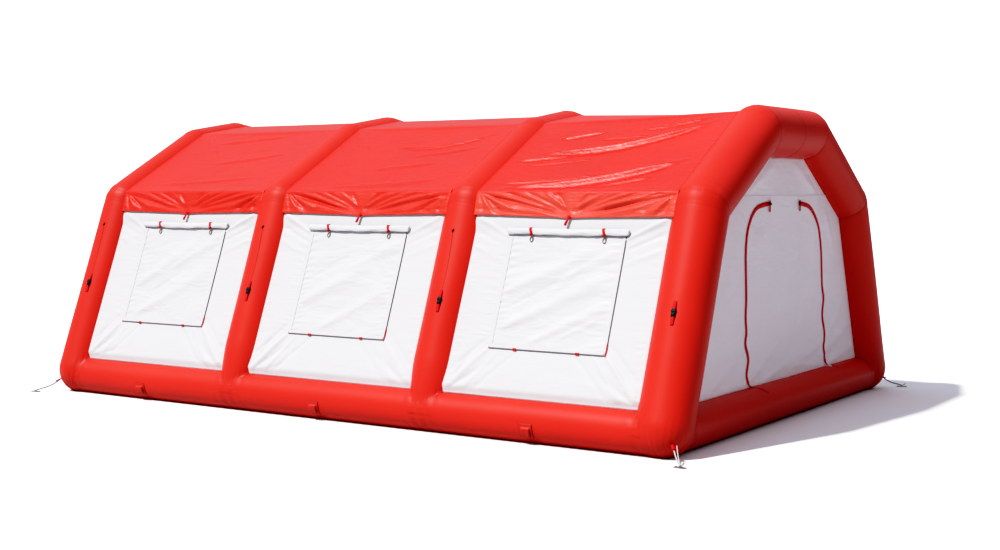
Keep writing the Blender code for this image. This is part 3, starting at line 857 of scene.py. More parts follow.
# Long creases of each roof's front slope: three points as x from the bay's middle and distance down
# the slope from the upper knee, then half width and height.
ROOF_CREASES = [
    [(-0.55, 0.25, -0.1, 0.16, 0.4, 0.1, 0.02, 0.006), (-0.8, 0.1, -0.6, 0.28, -0.35, 0.52, 0.022, 0.007),
     (-0.7, 1.18, 0.0, 1.1, 0.7, 1.02, 0.022, 0.006), (-0.3, 0.72, 0.15, 0.62, 0.75, 0.5, 0.025, 0.005)],
    [(-0.28, 0.4, 0.32, 0.4, 0.92, 0.13, 0.017, 0.01), (-0.25, 0.88, 0.1, 0.82, 0.5, 0.76, 0.018, 0.007),
     (-0.7, 1.26, 0.0, 1.19, 0.8, 1.08, 0.018, 0.008), (-0.92, 0.14, -0.75, 0.3, -0.55, 0.48, 0.022, 0.008),
     (0.05, 0.6, 0.4, 0.56, 0.85, 0.44, 0.02, 0.005)],
    [(-0.75, 0.62, 0.2, 0.455, 0.92, 0.1, 0.027, 0.023), (-0.88, 1.3, 0.15, 1.085, 0.93, 0.78, 0.031, 0.026),
     (-0.68, 0.36, -0.45, 0.28, -0.18, 0.21, 0.015, 0.012),
     (-0.92, 0.78, -0.65, 0.72, -0.3, 0.65, 0.014, 0.012),
     (-0.8, 0.86, -0.5, 0.81, -0.05, 0.73, 0.012, 0.008), (-0.25, 0.37, 0.0, 0.35, 0.3, 0.33, 0.014, 0.009),
     (-0.95, 1.2, -0.4, 1.13, 0.3, 0.98, 0.013, 0.01), (-0.3, 1.27, 0.2, 1.2, 0.75, 1.06, 0.013, 0.011),
     (0.1, 0.22, 0.45, 0.16, 0.8, 0.06, 0.016, 0.009)],
]


def roof_profile(i):
    """Roof line over arch i in (y, z) with its outward normals, softened at its corners.

    Positions along it are those of the peaked arches, so that neighbours can be blended.
    """
    s = sizes()
    up, outward = wall_dirs()

    def corners(k):
        edge = beside(arch_corners(k), s.roof_out)
        s_knee = (edge[1] - np.array([-s.leg_y, base_z()])) @ up
        low = np.array([-s.leg_y, base_z()]) + up * (s_knee - s.valance) + outward * s.valance_out
        return np.vstack([low, edge[1:-1], low * (-1, 1)])

    starts = np.concatenate([[0], np.cumsum(np.hypot(*np.diff(corners(0), axis=0).T))])
    pts = corners(i)
    d = np.linspace(0, starts[-1], 1400)
    k = 10
    win = np.hanning(2 * k + 1)
    win /= win.sum()
    soft = []
    for q in (np.interp(d, starts, pts[:, 0]), np.interp(d, starts, pts[:, 1])):
        pad = np.concatenate([2 * q[0] - q[k:0:-1], q, 2 * q[-1] - q[-2:-k - 2:-1]])
        soft.append(np.convolve(pad, win, "valid"))
    dy, dz = np.gradient(soft[0]), np.gradient(soft[1])
    size = np.hypot(dy, dz)
    return d, soft[0], soft[1], -dz / size, dy / size, starts


# Folds of half a valance: x and height over its lower edge where each starts and ends, and its height.
GROOVES = [(0.93, 0.190, 0.10, 0.030, -0.0080), (0.80, 0.205, 0.30, 0.085, 0.0060),
           (0.66, 0.212, 0.07, 0.045, -0.0070), (0.46, 0.215, 0.05, 0.060, -0.0070),
           (0.30, 0.215, 0.04, 0.080, 0.0060), (0.17, 0.215, 0.03, 0.060, -0.0060)]
# Folds from an upper corner: x and height over the lower edge where each ends, and its height.
SPRAY = [(0.90, 0.03, -0.006), (0.80, 0.03, 0.006), (0.70, 0.04, -0.007), (0.58, 0.05, 0.005)]


def valance_grooves(i):
    """Narrow V folds of a valance: from its upper edge to the pull tab, and a spray at each corner."""
    k, wide = (1.6, 1.8, 2.15)[i], 0.013
    table = []
    for sx in (-1, 1):
        for x, v0, low, v1, deep in GROOVES:
            high = x + 0.02 * math.sin(5 * i + 9 * x + sx)
            table.append((sx * high, v0, sx * low, v1, wide, k * deep))
        table += [(sx * 0.96, 0.20, sx * end, v1, wide, k * deep) for end, v1, deep in SPRAY]
    return table


def roof_sheet(i):
    """Roof of bay i: the softened roof line carried along X, sagging between arches, plus creases.

    h(x, v) = -sag + long creases on the slope + a fan of folds round the pull tab and round both
    upper corners of the valance.
    """
    s = sizes()
    d, *near, starts = roof_profile(i)
    far = roof_profile(i + 1)[1:5]
    total = starts[-1]
    u = np.linspace(0, 1, 134)[None, :]
    v = stepped([(0, 0.009), (starts[1] + 0.04, 0.0125), (starts[2], 0.06), (total - starts[2], 0.045),
                 (total - starts[1] - 0.04, 0.024), (total, 0.024)])[:, None]
    y, z, ay, az = (np.interp(v, d, q) * (1 - u) + np.interp(v, d, w) * u for q, w in zip(near, far))
    way = np.where(v < total / 2, 1.0, -1.0)
    from_edge = np.minimum(v, total - v)
    hanging = np.clip(1 - from_edge / s.valance, 0, 1)
    hang = ease(hanging)
    xl = lateral(s.arch_r, s.roof_out + (s.valance_out - s.roof_out) * hanging)
    x = -s.bay / 2 + xl + u * (s.bay - 2 * xl)
    span = np.sin(np.pi * u)
    down = starts[2] - from_edge
    slope = ease((from_edge - s.valance) / 0.12) * ease((down + 0.05) / 0.10)
    sag = 0.020 * span * slope + 0.003 * span
    long = 1.15 * bowed_creases(x * way, down, ROOF_CREASES[i]) * slope * np.where(way > 0, 1.0, 0.75)
    strong = (0.005, 0.006, 0.007)[i]
    top = s.valance - 0.005
    w = s.bay / 2 - 0.17
    folds = fan(x, from_edge, (0.0, -0.012), (0.12, 3.02), 11, 1.5, strong, 0.4 + i, 3.4)
    folds = folds * ease(np.abs(x) / 0.10) + creases(x, from_edge, valance_grooves(i))
    for sx, phase in ((1, 1.0 + i), (-1, 2.0 + 2 * i)):
        folds = folds + fan(sx * x, from_edge, (-w, top), (-1.45, -0.06), 12, 0.75, strong, phase, 2.0)
    in_valance = ease((s.valance + 0.01 - from_edge) / 0.06)
    pulled = 0.003 * hang * bell(x / 0.05)
    folds = folds * in_valance * ease((from_edge + 0.02) / 0.09) - pulled
    h = -sag + long + folds * ease(np.minimum(u, 1 - u) / 0.02)
    drop = 0.014 * span ** 2 * hang + 0.008 * bell(x / 0.10) * hang
    up, _ = wall_dirs()
    p = stack(x + (i - 1) * s.bay, y + ay * h - way * up[0] * drop, z + az * h - up[1] * drop)
    # Painted light: the valance value sets how strongly each bay's valance is painted lighter and more orange,
    # most on the third bay.
    ob = mesh_piece(f"roof_cloth_{i + 1}", p, (x + 3.0 * i, v), roof_cloth, flip=True,
                    valance=in_valance * (0.15, 0.35, 1.0)[i])
    thicken(ob, s.cloth)
    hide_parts(f"roof_{i + 1}")


def panel_out(x, s):
    """Side panel's distance outside the leg line: drawn in to the base tube, out under the valance."""
    out = sizes().panel_out - 0.026 * (1 - ease((s - sizes().panel_low) / 0.075))
    belly = 0.010 * np.cos(np.pi * x / 2.1) * ease((s - 0.3) / 0.4)
    return out - belly * (1 - ease((s - 1.35) / 0.35)) + 0.014 * ease((s - 1.62) / 0.12)


def tension(x, s, i):
    """Soft wrinkles that run from the window's corners to the panel's corners and fan out there."""
    w, lo, hi = sizes().window_x, sizes().window_low, sizes().window_high
    half = sizes().bay / 2 - 0.2
    rows = [(w, lo, half, 0.19, 0.020, 0.008), (w + 0.04, lo + 0.08, half, 0.33, 0.013, -0.005),
            (w - 0.10, lo - 0.03, half - 0.18, 0.19, 0.013, 0.005),
            (w - 0.28, lo - 0.03, half - 0.30, 0.2, 0.016, -0.004), (w, hi - 0.03, half, 1.76, 0.016, 0.008),
            (w + 0.03, hi - 0.12, half, 1.64, 0.013, -0.005), (w + 0.02, hi - 0.25, half, 1.5, 0.015, 0.004)]
    table = [(sx * x0, v0, sx * x1, v1, wide, high * (1.0 + 0.25 * math.sin(3 * i + 2 * sx)))
             for sx in (-1, 1) for x0, v0, x1, v1, wide, high in rows]
    fans = [fan(sx * x, s, (-half, 0.16), (0.15, 1.45), 14, 0.60, 0.0055, phase + 0.5 * i)
            for sx, phase in ((1, 0.0), (-1, 1.0))]
    return 1.6 * creases(x, s, table) + sum(fans)


def side_panel(i, side):
    """Side panel of a bay: a grid on the wall, its edges on the legs, with the window opening."""
    s = sizes()
    mid, tag = bay_place(i, side)
    gaps, columns = ((0.014, 0.022), 116) if side < 0 else ((0.03, 0.04), 48)
    v = stepped([(s.panel_low, gaps[0]), (0.75, gaps[1]), (1.45, gaps[0]), (s.panel_top, 0.014)])[:, None]
    u = np.linspace(-1, 1, columns)
    u = 0.85 * u + 0.15 * u ** 3
    legs = [lateral(s.arch_r if i == gable else leg_radius(v), panel_out(0.9, v)) for gable in (0, 2)]
    x0, x1 = legs[0] - s.bay / 2, s.bay / 2 - legs[1]
    x = 0.5 * (x0 + x1) + 0.5 * (x1 - x0) * u
    gap = np.minimum(x - x0, x1 - x)
    gather = bell(gap / 0.10)
    inside = ease((gap - 0.012) / 0.06)
    ripple = 0.0020 * gather * np.sin(95 * v + 6 * np.sin(5 * v + i)) * ease((v - 0.25) / 0.2)
    hem = ease((v - s.window_low) / 0.1) * ease((s.window_high - v) / 0.1)
    hem = hem * bell((x + s.window_x + 0.07) / 0.075)
    ripple = ripple + 0.0030 * hem * np.sin(105 * v + 5 * np.sin(6 * v + i) + 20 * x)
    h = panel_out(x, v) + (ripple + tension(x, v, i)) * inside * ease((v - s.panel_low - 0.01) / 0.05)
    lap = 0.02
    hole = s.window_x - lap
    cx = 0.25 * (x[:-1, :-1] + x[1:, :-1] + x[:-1, 1:] + x[1:, 1:])
    cv = 0.5 * (v[:-1] + v[1:])
    keep = (np.abs(cx) >= hole) | (cv <= s.window_low + lap) | (cv >= s.window_high - lap)
    ob = mesh_piece(f"side_cloth_{tag}", wall_xyz(side, mid + x, v, h), (mid + x, v), white_cloth, keep=keep,
                    flip=side > 0, gather=0.55 * gather * inside + 0.5 * hem)
    thicken(ob, s.cloth)
    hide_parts(f"panel_{tag}")


# Window wrinkles: start and end in metres from the window's middle, half width, height.
WINDOW_CREASES = [
    [(-0.50, -0.12, 0.20, 0.34, 0.060, 0.014), (-0.40, -0.42, 0.45, 0.06, 0.055, 0.012),
     (-0.05, 0.08, 0.5, 0.40, 0.040, 0.009), (-0.25, -0.18, 0.15, 0.08, 0.025, -0.006)],
    [(-0.52, -0.22, 0.20, 0.18, 0.060, 0.014), (-0.20, -0.44, 0.50, -0.04, 0.050, 0.013),
     (0.00, 0.16, 0.52, 0.40, 0.040, 0.009), (-0.48, 0.02, -0.05, 0.26, 0.030, -0.006)],
    [(-0.54, -0.02, 0.25, 0.36, 0.065, 0.016), (-0.50, -0.34, 0.42, 0.12, 0.060, 0.016),
     (-0.20, -0.46, 0.50, -0.10, 0.040, 0.012), (0.05, 0.14, 0.52, 0.36, 0.036, 0.010),
     (-0.45, -0.14, 0.00, 0.10, 0.024, -0.007), (0.10, -0.40, 0.45, -0.22, 0.020, 0.006)],
]


WINDOW_LIFT = 0.0042    # the window cloth outside the panel


def window_height(i, x, v):
    """The window cloth's distance outside the leg line."""
    s = sizes()
    v_mid, half = 0.5 * (s.window_low + s.window_high), 0.5 * (s.window_high - s.window_low)
    edge = np.minimum(s.window_x - np.abs(x), half - np.abs(v - v_mid))
    h = panel_out(x, v) + WINDOW_LIFT + creases(x, v - v_mid, WINDOW_CREASES[i]) * ease(edge / 0.12)
    pinch = bell((x + s.window_x - 0.07) / 0.06) + 0.7 * bell((s.window_x - 0.09 - x) / 0.06)
    return h + 0.0028 * pinch * np.sin(105 * v + 5 * np.sin(6 * v + i) - 18 * x) * ease(edge / 0.03)


def window_piece(i, side):
    """Window cloth over the opening, with slack slanting wrinkles."""
    s = sizes()
    mid, tag = bay_place(i, side)
    n = 73 if side < 0 else 34
    x = np.linspace(-s.window_x, s.window_x, n)[None, :]
    v = np.linspace(s.window_low, s.window_high, n)[:, None]
    ob = mesh_piece(f"window_cloth_{tag}", wall_xyz(side, mid + x, v, window_height(i, x, v)), (mid + x, v),
                    window_cloth, flip=side > 0)
    thicken(ob, 0.0015)
    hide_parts(f"window_{tag}")


def window_edging(i, side):
    """Zip down the right side and along the bottom, its pale hem, and the two red tabs below."""
    mid, tag = bay_place(i, side)
    _, normal = wall_axes(side)
    w, lo, hi = sizes().window_x, sizes().window_low, sizes().window_high

    def run(word, x0, v0, x1, v1, lift, section, make, count=40):
        x, v = np.linspace(x0, x1, count), np.linspace(v0, v1, count)
        path = wall_xyz(side, mid + x, v, panel_out(x, v) + WINDOW_LIFT + lift)
        return strip(f"{word}_{tag}", path, normal, flat_section(*section), make)

    foot, right = lo - 0.004, w + 0.002
    run("zip_low", -w - 0.005, foot, w + 0.004, foot, 0.003, (0.007, 0.003, 0.0008), grey_zip)
    run("zip_side", right, foot, right, hi + 0.02, 0.003, (0.006, 0.003, 0.0008), grey_zip)
    run("hem_low", -w, lo + 0.014, w, lo + 0.014, 0.0045, (0.026, 0.0016), pale_tape)
    run("hem_side", w - 0.014, lo, w - 0.014, hi, 0.0045, (0.026, 0.0016), pale_tape)
    run("hem_left", -w + 0.012, lo, -w + 0.012, hi, 0.003, (0.034, 0.0020), pale_tape)
    red = [run(f"tab_{k}", x - 0.018, foot, x + 0.018, foot, 0.0065, (0.022, 0.004, 0.002), red_tape, 8)
           for k, x in enumerate((-0.31, 0.31))]
    red.append(run("corner", w + 0.003, lo - 0.012, w + 0.003, lo + 0.10, 0.0065, (0.010, 0.003), red_tape, 12))
    join(red, f"window_tabs_{tag}")


ROLL_HALF = 0.605    # half the rolled flap's length
ROLL_LIFT = 0.021    # its centre outside the panel
TIE_X = 0.363        # its ties from the bay's middle


def roll_height(t):
    """Height of the roll's centre along the wall at t from -1 to 1: it sags between its ties."""
    t = np.abs(t)
    return sizes().roll_s - 0.008 * np.where(t < 0.6, np.cos(np.pi * t / 1.2), 0.4 * (t - 0.6))


def flap_roll(i, side):
    """Rolled flap: a tube whose radius swells and pinches at its ties, with spiral folds."""
    s = sizes()
    mid, tag = bay_place(i, side)
    a = ring_angles(28)
    t = np.linspace(-1, 1, 92)[:, None]
    tie = bell((np.abs(t) - 0.6) / 0.03)
    r = s.roll_r * (1 - 0.16 * tie) * np.sqrt(1 - 0.5 * np.abs(t) ** 160)
    r = r * (1 + 0.05 * np.sin(3 * a + 5 * t + i))
    r = r + 0.0020 * np.sin(2 * a + 14 * t + i) + 0.0010 * np.sin(5 * a - 25 * t)
    r = r - 0.004 * bell((np.angle(np.exp(1j * (a - 0.9 - 0.8 * t)))) / 0.16)
    out = s.panel_out + ROLL_LIFT + 0.55 * r * np.sin(a)
    p = capped(wall_xyz(side, mid + t * ROLL_HALF, roll_height(t) + r * np.cos(a), out))
    uv = (a * s.roll_r, np.linspace(0, 2 * ROLL_HALF, len(p))[:, None])
    ob = mesh_piece(f"flap_cloth_{tag}", p, uv, white_cloth, "flap_fabric", wrap=True, weld=True, gather=0.12)
    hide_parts(f"flap_roll_{tag}")


def roll_ties(i, side):
    """Two red ties round the roll, each with a small ring hanging below it."""
    mid, tag = bay_place(i, side)
    out = sizes().panel_out + ROLL_LIFT
    r = sizes().roll_r + 0.0015
    a = np.linspace(math.radians(-28), math.radians(208), 26)
    b = ring_angles(32)
    bands, rings = [], []
    for k, x in enumerate((-TIE_X, TIE_X)):
        centre = float(roll_height(x / ROLL_HALF))
        across = mid + x + 0.006 - 0.012 * np.cos(a * 0.9)
        path = wall_xyz(side, across, centre + r * np.cos(a), out + 0.62 * r * np.sin(a))
        spine = wall_xyz(side, across, centre, out)
        bands.append(strip(f"tie_{k}", path, path - spine, flat_section(0.023, 0.004, 0.001), red_tape))
        knob = wall_line(side, mid, [(x + 0.004, centre - r * 0.75, out + 0.014),
                                     (x + 0.008, centre - r * 1.15, out + 0.010),
                                     (x + 0.010, centre - r * 1.55, out + 0.002)])
        bands.append(strip(f"knot_{k}", smooth_path(knob, 10), (1, 0, 0), round_section(0.0075, 10), red_tape))
        hoop = wall_xyz(side, mid + x + 0.010 + 0.016 * np.sin(b), centre - r * 1.5 - 0.022 + 0.023 * np.cos(b),
                        out - 0.014)
        rings.append(loop(f"ring_{k}", hoop, 0.0036, grey_cord))
    join(bands, f"roll_ties_{tag}")
    join(rings, f"tie_rings_{tag}")


# Folds of the end walls: start and end as (y, z), half width, height.
END_CREASES = [
    (1.95, 0.80, 0.95, 0.46, 0.050, 0.012), (1.30, 0.40, 1.98, 0.52, 0.040, 0.010),
    (-1.55, 0.42, -0.92, 0.72, 0.045, 0.010), (1.05, 0.62, 0.10, 0.42, 0.055, 0.012),
    (-0.45, 0.38, 0.55, 0.60, 0.045, 0.010), (1.75, 1.15, 1.15, 0.60, 0.045, 0.009),
    (-0.70, 0.42, 0.00, 0.78, 0.040, 0.009), (-1.30, 0.40, -0.80, 0.42, 0.035, 0.008),
    (-0.60, 0.70, -0.50, 1.70, 0.090, 0.008), (0.25, 0.80, 0.35, 1.75, 0.100, 0.008),
    (0.70, 0.90, 0.80, 1.80, 0.070, 0.007), (-0.15, 0.95, -0.05, 1.60, 0.080, 0.006),
    (-0.75, 2.12, -0.20, 2.36, 0.045, 0.007), (0.80, 2.12, 0.30, 2.34, 0.045, 0.007),
    (-1.35, 1.10, -1.00, 1.70, 0.050, 0.006), (1.10, 1.90, 1.35, 1.50, 0.045, 0.007),
    (0.30, 0.46, 1.00, 0.40, 0.026, 0.007), (1.20, 0.75, 1.90, 0.66, 0.028, -0.006),
]
END_FOLD = 1.9    # how strong those folds are
END_HALF = 2.04   # half the end wall's width along its lower edge
END_Z = (0.36, 1.89, 2.42)         # heights of the door end's lower edge, knee and top
END_Y = (END_HALF, 1.47, 0.6)      # its half width at each


def end_wall(sign):
    """End wall: rows follow the inside of the gable arch, with a slight belly and a few wrinkles."""
    s = sizes()
    inner = beside(arch_corners(3 if sign > 0 else 0), -(s.arch_r - 0.008))
    low, top = base_z() + s.base_r - 0.012, inner[2, 1]
    rows, cols = (90, 104) if sign > 0 else (56, 66)
    v = np.linspace(0, 1, rows)[:, None]
    u = np.linspace(-1, 1, cols)
    zrow = low + v * (top - low)
    half = np.interp(zrow, inner[:3, 1], -inner[:3, 0])
    y = u * half
    z = zrow + v ** 10 * (inner[3, 1] - top) * np.clip(1 - np.abs(y) / abs(inner[2, 0]), 0, 1)
    edge = half - np.abs(y)
    gather = bell(edge / 0.10) + bell((z - low) / 0.10)
    belly = 0.018 * np.cos(0.5 * np.pi * u) * np.sin(np.pi * v)
    inside = ease((edge - 0.015) / 0.08)
    folds = END_FOLD * creases(y, z, END_CREASES if sign > 0 else END_CREASES[::2])
    h = belly + (folds + 0.0025 * bell(edge / 0.08) * np.sin(90 * z)) * inside
    h = h + 0.003 * bell((z - low - 0.04) / 0.06) * np.sin(60 * y + 3 * np.sin(5 * y))
    word = "right" if sign > 0 else "left"
    ob = mesh_piece(f"end_cloth_{word}", stack(sign * (arch_xs()[3] + s.end_out + h * 0.8), y, z), (y, z),
                    end_cloth, flip=sign < 0, gather=0.5 * gather * inside)
    thicken(ob, s.cloth)
    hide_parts(f"end_wall_{word}")
    width = 2 * END_HALF
    cut = 2 * float(np.trapz(half[:, 0], zrow[:, 0]))
    float(top - low)
    min(cut, width * float(top - low))


def end_face_x(y, z):
    """X of the door end's outer face at (y, z), as end_wall() bellies and folds it."""
    half = np.interp(z, END_Z, END_Y)
    u, v = np.clip(y / half, -1, 1), np.clip((z - 0.35) / 2.07, 0, 1)
    belly = 0.018 * np.cos(0.5 * np.pi * u) * np.sin(np.pi * v)
    folds = END_FOLD * creases(y, z, END_CREASES) * ease((half - np.abs(y) - 0.015) / 0.08)
    return arch_xs()[3] + sizes().end_out + 0.003 + 0.8 * (belly + folds)


# --- tapes and cords along paths ------------------------------------------------------------------
def lengths(path):
    """Length along a path at each of its points."""
    return np.concatenate([[0.0], np.cumsum(np.linalg.norm(np.diff(path, axis=0), axis=1))])


def square_to(t, up):
    """The direction up made square to t, both as unit rows; t is scaled in place."""
    t /= np.linalg.norm(t, axis=1, keepdims=True)
    up = up - t * np.einsum("ij,ij->i", up, t)[:, None]
    return up / np.linalg.norm(up, axis=1, keepdims=True)


def capped(p):
    """Rings with both ends closed at their middles."""
    ends = [np.repeat(ring.mean(1, keepdims=True), p.shape[1], 1) for ring in (p[:1], p[-1:])]
    return np.concatenate([ends[0], p, ends[1]], 0)


def smooth_path(points, count):
    """Points of an interpolating Catmull-Rom curve through the given ones, evenly spread."""
    p = np.asarray(points, float)
    p = np.vstack([2 * p[0] - p[1], p, 2 * p[-1] - p[-2]])
    seg = len(p) - 3
    t = np.linspace(0, seg, 40 * seg + 1)
    k = np.minimum(t.astype(int), seg - 1)
    f = (t - k)[:, None]
    a, b, c, d = p[k], p[k + 1], p[k + 2], p[k + 3]
    q = 0.5 * (2 * b + (c - a) * f + (2 * a - 5 * b + 4 * c - d) * f ** 2 + (3 * b - a - 3 * c + d) * f ** 3)
    run = lengths(q)
    want = np.linspace(0, run[-1], count)
    return np.column_stack([np.interp(want, run, q[:, j]) for j in range(3)])


def strip(name, path, normal, section, make, taper=0.0):
    """A section of (across, up) pairs carried along a path; normal is the up direction, one or per point.

    With taper the last stretch of that length narrows to a point.
    """
    path = np.asarray(path, float)
    t = np.gradient(path, axis=0)
    up = square_to(t, np.broadcast_to(np.asarray(normal, float), path.shape))
    across = np.cross(t, up)
    run = lengths(path)
    k = np.clip((run[-1] - run) / taper, 0.15, 1.0)[:, None, None] if taper else 1.0
    p = path[:, None, :] + across[:, None, :] * section[:, :1] * k + up[:, None, :] * section[:, 1:]
    run = np.concatenate([run[:1], run, run[-1:]])
    return mesh_piece(name, capped(p), (lengths(section), run[:, None]), make, wrap=True, weld=True)


def loop(name, points, r, make):
    """A closed round ring of radius r through the points."""
    t = np.roll(points, -1, 0) - np.roll(points, 1, 0)
    out = square_to(t, points - points.mean(0))
    a = ring_angles(10)
    around = np.cos(a)[:, None] * out[:, None, :] + np.sin(a)[:, None] * np.cross(t, out)[:, None, :]
    p = points[:, None, :] + r * around
    p = np.concatenate([p, p[:1]], 0)
    return mesh_piece(name, p, (a * r, 0.004 * np.arange(len(p))[:, None]), make, wrap=True, weld=True)


def round_section(r, n=12):
    """A round cord's outline."""
    a = ring_angles(n)
    return np.column_stack([np.cos(a) * r, np.sin(a) * r])


def flat_section(width, thick, bead=0.0):
    """A flat tape's outline, with a bead along its middle where it is a zip."""
    w, t = width / 2, thick / 2
    half = [(0.22 * w, t + bead), (0.35 * w, t), (0.8 * w, t), (w, 0.2 * t)]
    return np.array([(-x, y) for x, y in half[::-1]] + half + [(w, -t), (0, -t), (-w, -t)])


def join(objects, name):
    """Joins pieces of one fitting into the first and names it."""
    for ob in bpy.context.view_layer.objects:
        ob.select_set(False)
    for ob in objects:
        ob.select_set(True)
    bpy.context.view_layer.objects.active = objects[0]
    bpy.ops.object.join()
    objects[0].name = name
    return objects[0]


# The door's zips as (y, z), from the top of the door down.
ZIP_LEFT = [(-0.34, 2.00), (-0.45, 1.99), (-0.60, 1.965), (-0.71, 1.90), (-0.79, 1.80), (-0.83, 1.70),
            (-0.848, 1.55), (-0.84, 1.35), (-0.83, 1.15), (-0.835, 1.0), (-0.815, 0.86), (-0.83, 0.76),
            (-0.76, 0.62), (-0.79, 0.48), (-0.74, 0.40)]
ZIP_RIGHT = [(0.39, 2.00), (0.50, 1.99), (0.65, 1.965), (0.76, 1.91), (0.85, 1.83), (0.93, 1.72), (0.985, 1.55),
             (1.01, 1.35), (1.03, 1.18), (1.075, 1.05), (1.05, 0.88), (1.12, 0.70), (1.08, 0.52), (1.18, 0.40)]


def over_base_right(y, degrees, lift=0.004):
    """Points on the right base tube at an angle up from its outer side."""
    a = np.radians(degrees)
    r = sizes().base_r + lift
    return np.column_stack([arch_xs()[3] + r * np.cos(a), y, base_z() + r * np.sin(a)])


def door_zip(word, path, tail):
    """A door zip: a beaded tape over the end wall, its free tail lying over the base tube.

    The tail's points are (y past the path's end, degrees up from the base tube's outer side).
    """
    pts = np.array(path)
    world = np.column_stack([end_face_x(pts[:, 0], pts[:, 1]) + 0.006, pts])
    past, degrees = np.array(tail).T
    line = smooth_path(np.vstack([world, over_base_right(pts[-1, 0] + past, degrees)]), 280)
    low = ease((0.42 - line[:, 2]) / 0.06)[:, None]
    line[:, :1] = low * line[:, :1] + (1 - low) * (end_face_x(line[:, 1:2], line[:, 2:]) + 0.002)
    over = line - stack(arch_xs()[3], line[:, 1], base_z())
    over /= np.linalg.norm(over, axis=1, keepdims=True)
    normal = np.array([1.0, 0, 0]) * (1 - low) + over * low
    ob = strip(f"zip_tape_{word}", line, normal, flat_section(0.042, 0.003, 0.002), dark_tape, taper=0.06)
    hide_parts(f"door_zip_{word}")
    y0, z0 = pts[0]
    face = float(end_face_x(y0, z0))
    bar = [(face + 0.011, y0, z0 + 0.030), (face + 0.013, y0, z0), (face + 0.011, y0 + 0.004, z0 - 0.075)]
    strip(f"toggle_bar_{word}", smooth_path(bar, 14), (1, 0, 0), flat_section(0.016, 0.008, 0.003), dark_tape)
    sign = -1 if word == "left" else 1
    pull = [(face + 0.012, y0 + sign * 0.02, z0 + 0.004), (face + 0.018, y0 - sign * 0.006, z0 + 0.002),
            (face + 0.016, y0 - sign * 0.018, z0 - 0.01)]
    strip(f"zip_pull_{word}", smooth_path(pull, 10), (1, 0, 0), round_section(0.008, 10), black_plastic)


SEAM_Z, SEAM_HALF = 2.065, 1.22    # the door end's seam: its height and half its length


def end_seams():
    """Stitched seam across the door end, and the pale tape at the right zip's foot."""
    y = np.linspace(-SEAM_HALF, SEAM_HALF, 90)
    z = SEAM_Z + 0.004 * np.cos(y)
    path = stack(end_face_x(y, z) + 0.0025, y, z)
    strip("end_seam", path, (1, 0, 0), flat_section(0.012, 0.0008), end_cloth)
    foot = over_base_right(np.array([1.10, 1.14, 1.19, 1.235]), np.array([97.0, 90.0, 83.0, 74.0]), 0.007)
    strip("zip_foot_tape", smooth_path(foot, 14), (0.5, 0, 1.0), flat_section(0.030, 0.003, 0.001), pale_tape)


# --- fittings -------------------------------------------------------------------------------------
STRAP_S = 0.94       # a leg's buckle, along the leg
TOGGLE_S = 1.60      # the toggle that its line hangs from
STRAP_TURN = 0.10    # how far round the leg the buckle sits, towards +X
PATCH_X = (-2.35, -0.06, 2.26)    # the front base patches


def leg_frame(i, side, s, turn=0.0):
    """A point on a leg's outer face with its directions along, across (+X) and out."""
    along, out0 = wall_axes(side)
    across0 = np.array([1.0, 0, 0])
    r = float(leg_radius(s)) if i in (1, 2) else sizes().arch_r
    out = out0 * math.cos(turn) + across0 * math.sin(turn)
    across = across0 * math.cos(turn) - out0 * math.sin(turn)
    foot = np.array([arch_xs()[i], sizes().leg_y * side, base_z()])
    return foot + along * s + out * r, along, across, out


def plate(name, at, along, across, out, size):
    """A rounded block: a superellipse outline size[0] by size[1], domed to size[2] over its face."""
    a = ring_angles(40)
    t = 0.5 * np.pi * np.linspace(0, 1, 10)[:, None]
    ox, oy = (0.5 * wide * np.sign(q) * np.abs(q) ** (1 / 3) for wide, q in zip(size, (np.cos(a), np.sin(a))))
    k = np.cos(t) ** 0.35
    lift = size[2] * np.sin(t) ** 0.5
    p = at + (k * ox)[..., None] * across + (k * oy)[..., None] * along + lift[..., None] * out
    return mesh_piece(name, p, (ox * (1 - 0.5 * k), oy * (1 - 0.5 * k)), black_plastic, wrap=True, weld=True)


def leg_strap(i, side):
    """A leg's buckle: two red webbing loops, a black side-release body, and the toggle and line above."""
    tag = f"{SIDES[side]}_{i + 1}"
    at, along, across, out = leg_frame(i, side, STRAP_S, STRAP_TURN)
    blocks = (("body", 0.001, 0.0, (0.040, 0.084, 0.014)), ("bar", 0.006, 0.014, (0.048, 0.016, 0.012)),
              ("latch", 0.006, -0.016, (0.028, 0.024, 0.014)))
    buckle = join([plate(word, at + out * lift + along * up, along, across, out, size)
                   for word, lift, up, size in blocks], f"leg_buckle_{tag}")
    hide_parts(f"leg_strap_{tag}")
    loops = []
    for far in (0.098, -0.104):
        sign = math.copysign(1, far)
        steps = ((sign * 0.020, 0.006), (sign * 0.040, 0.012), (far - sign * 0.008, 0.006), (far, 0.0015))
        line = smooth_path([at + along * up + out * lift for up, lift in steps], 14)
        loops.append(strip("web", line, out, flat_section(0.028, 0.003, 0.001), red_tape))
    join(loops, f"strap_web_{tag}")
    if i == 3:
        return
    top, up, aside, out_top = leg_frame(i, side, TOGGLE_S, STRAP_TURN * 0.4)
    bar = [top + up * k + aside * k * 0.5 + out_top * 0.005 for k in (-0.014, -0.005, 0.005, 0.013)]
    strip(f"leg_toggle_{tag}", bar, out_top, round_section(0.0060), black_plastic)
    k = np.linspace(0, 1, 40)
    places = TOGGLE_S - 0.01 + (STRAP_S + 0.08 - TOGGLE_S) * k
    turns = STRAP_TURN * (0.4 + 0.6 * k) + 0.05 * np.sin(np.pi * k)
    frames = [leg_frame(i, side, float(s), float(turn)) for s, turn in zip(places, turns)]
    strip(f"leg_line_{tag}", [f[0] + f[3] * 0.0012 for f in frames], out, round_section(0.0013, 8), dark_line)


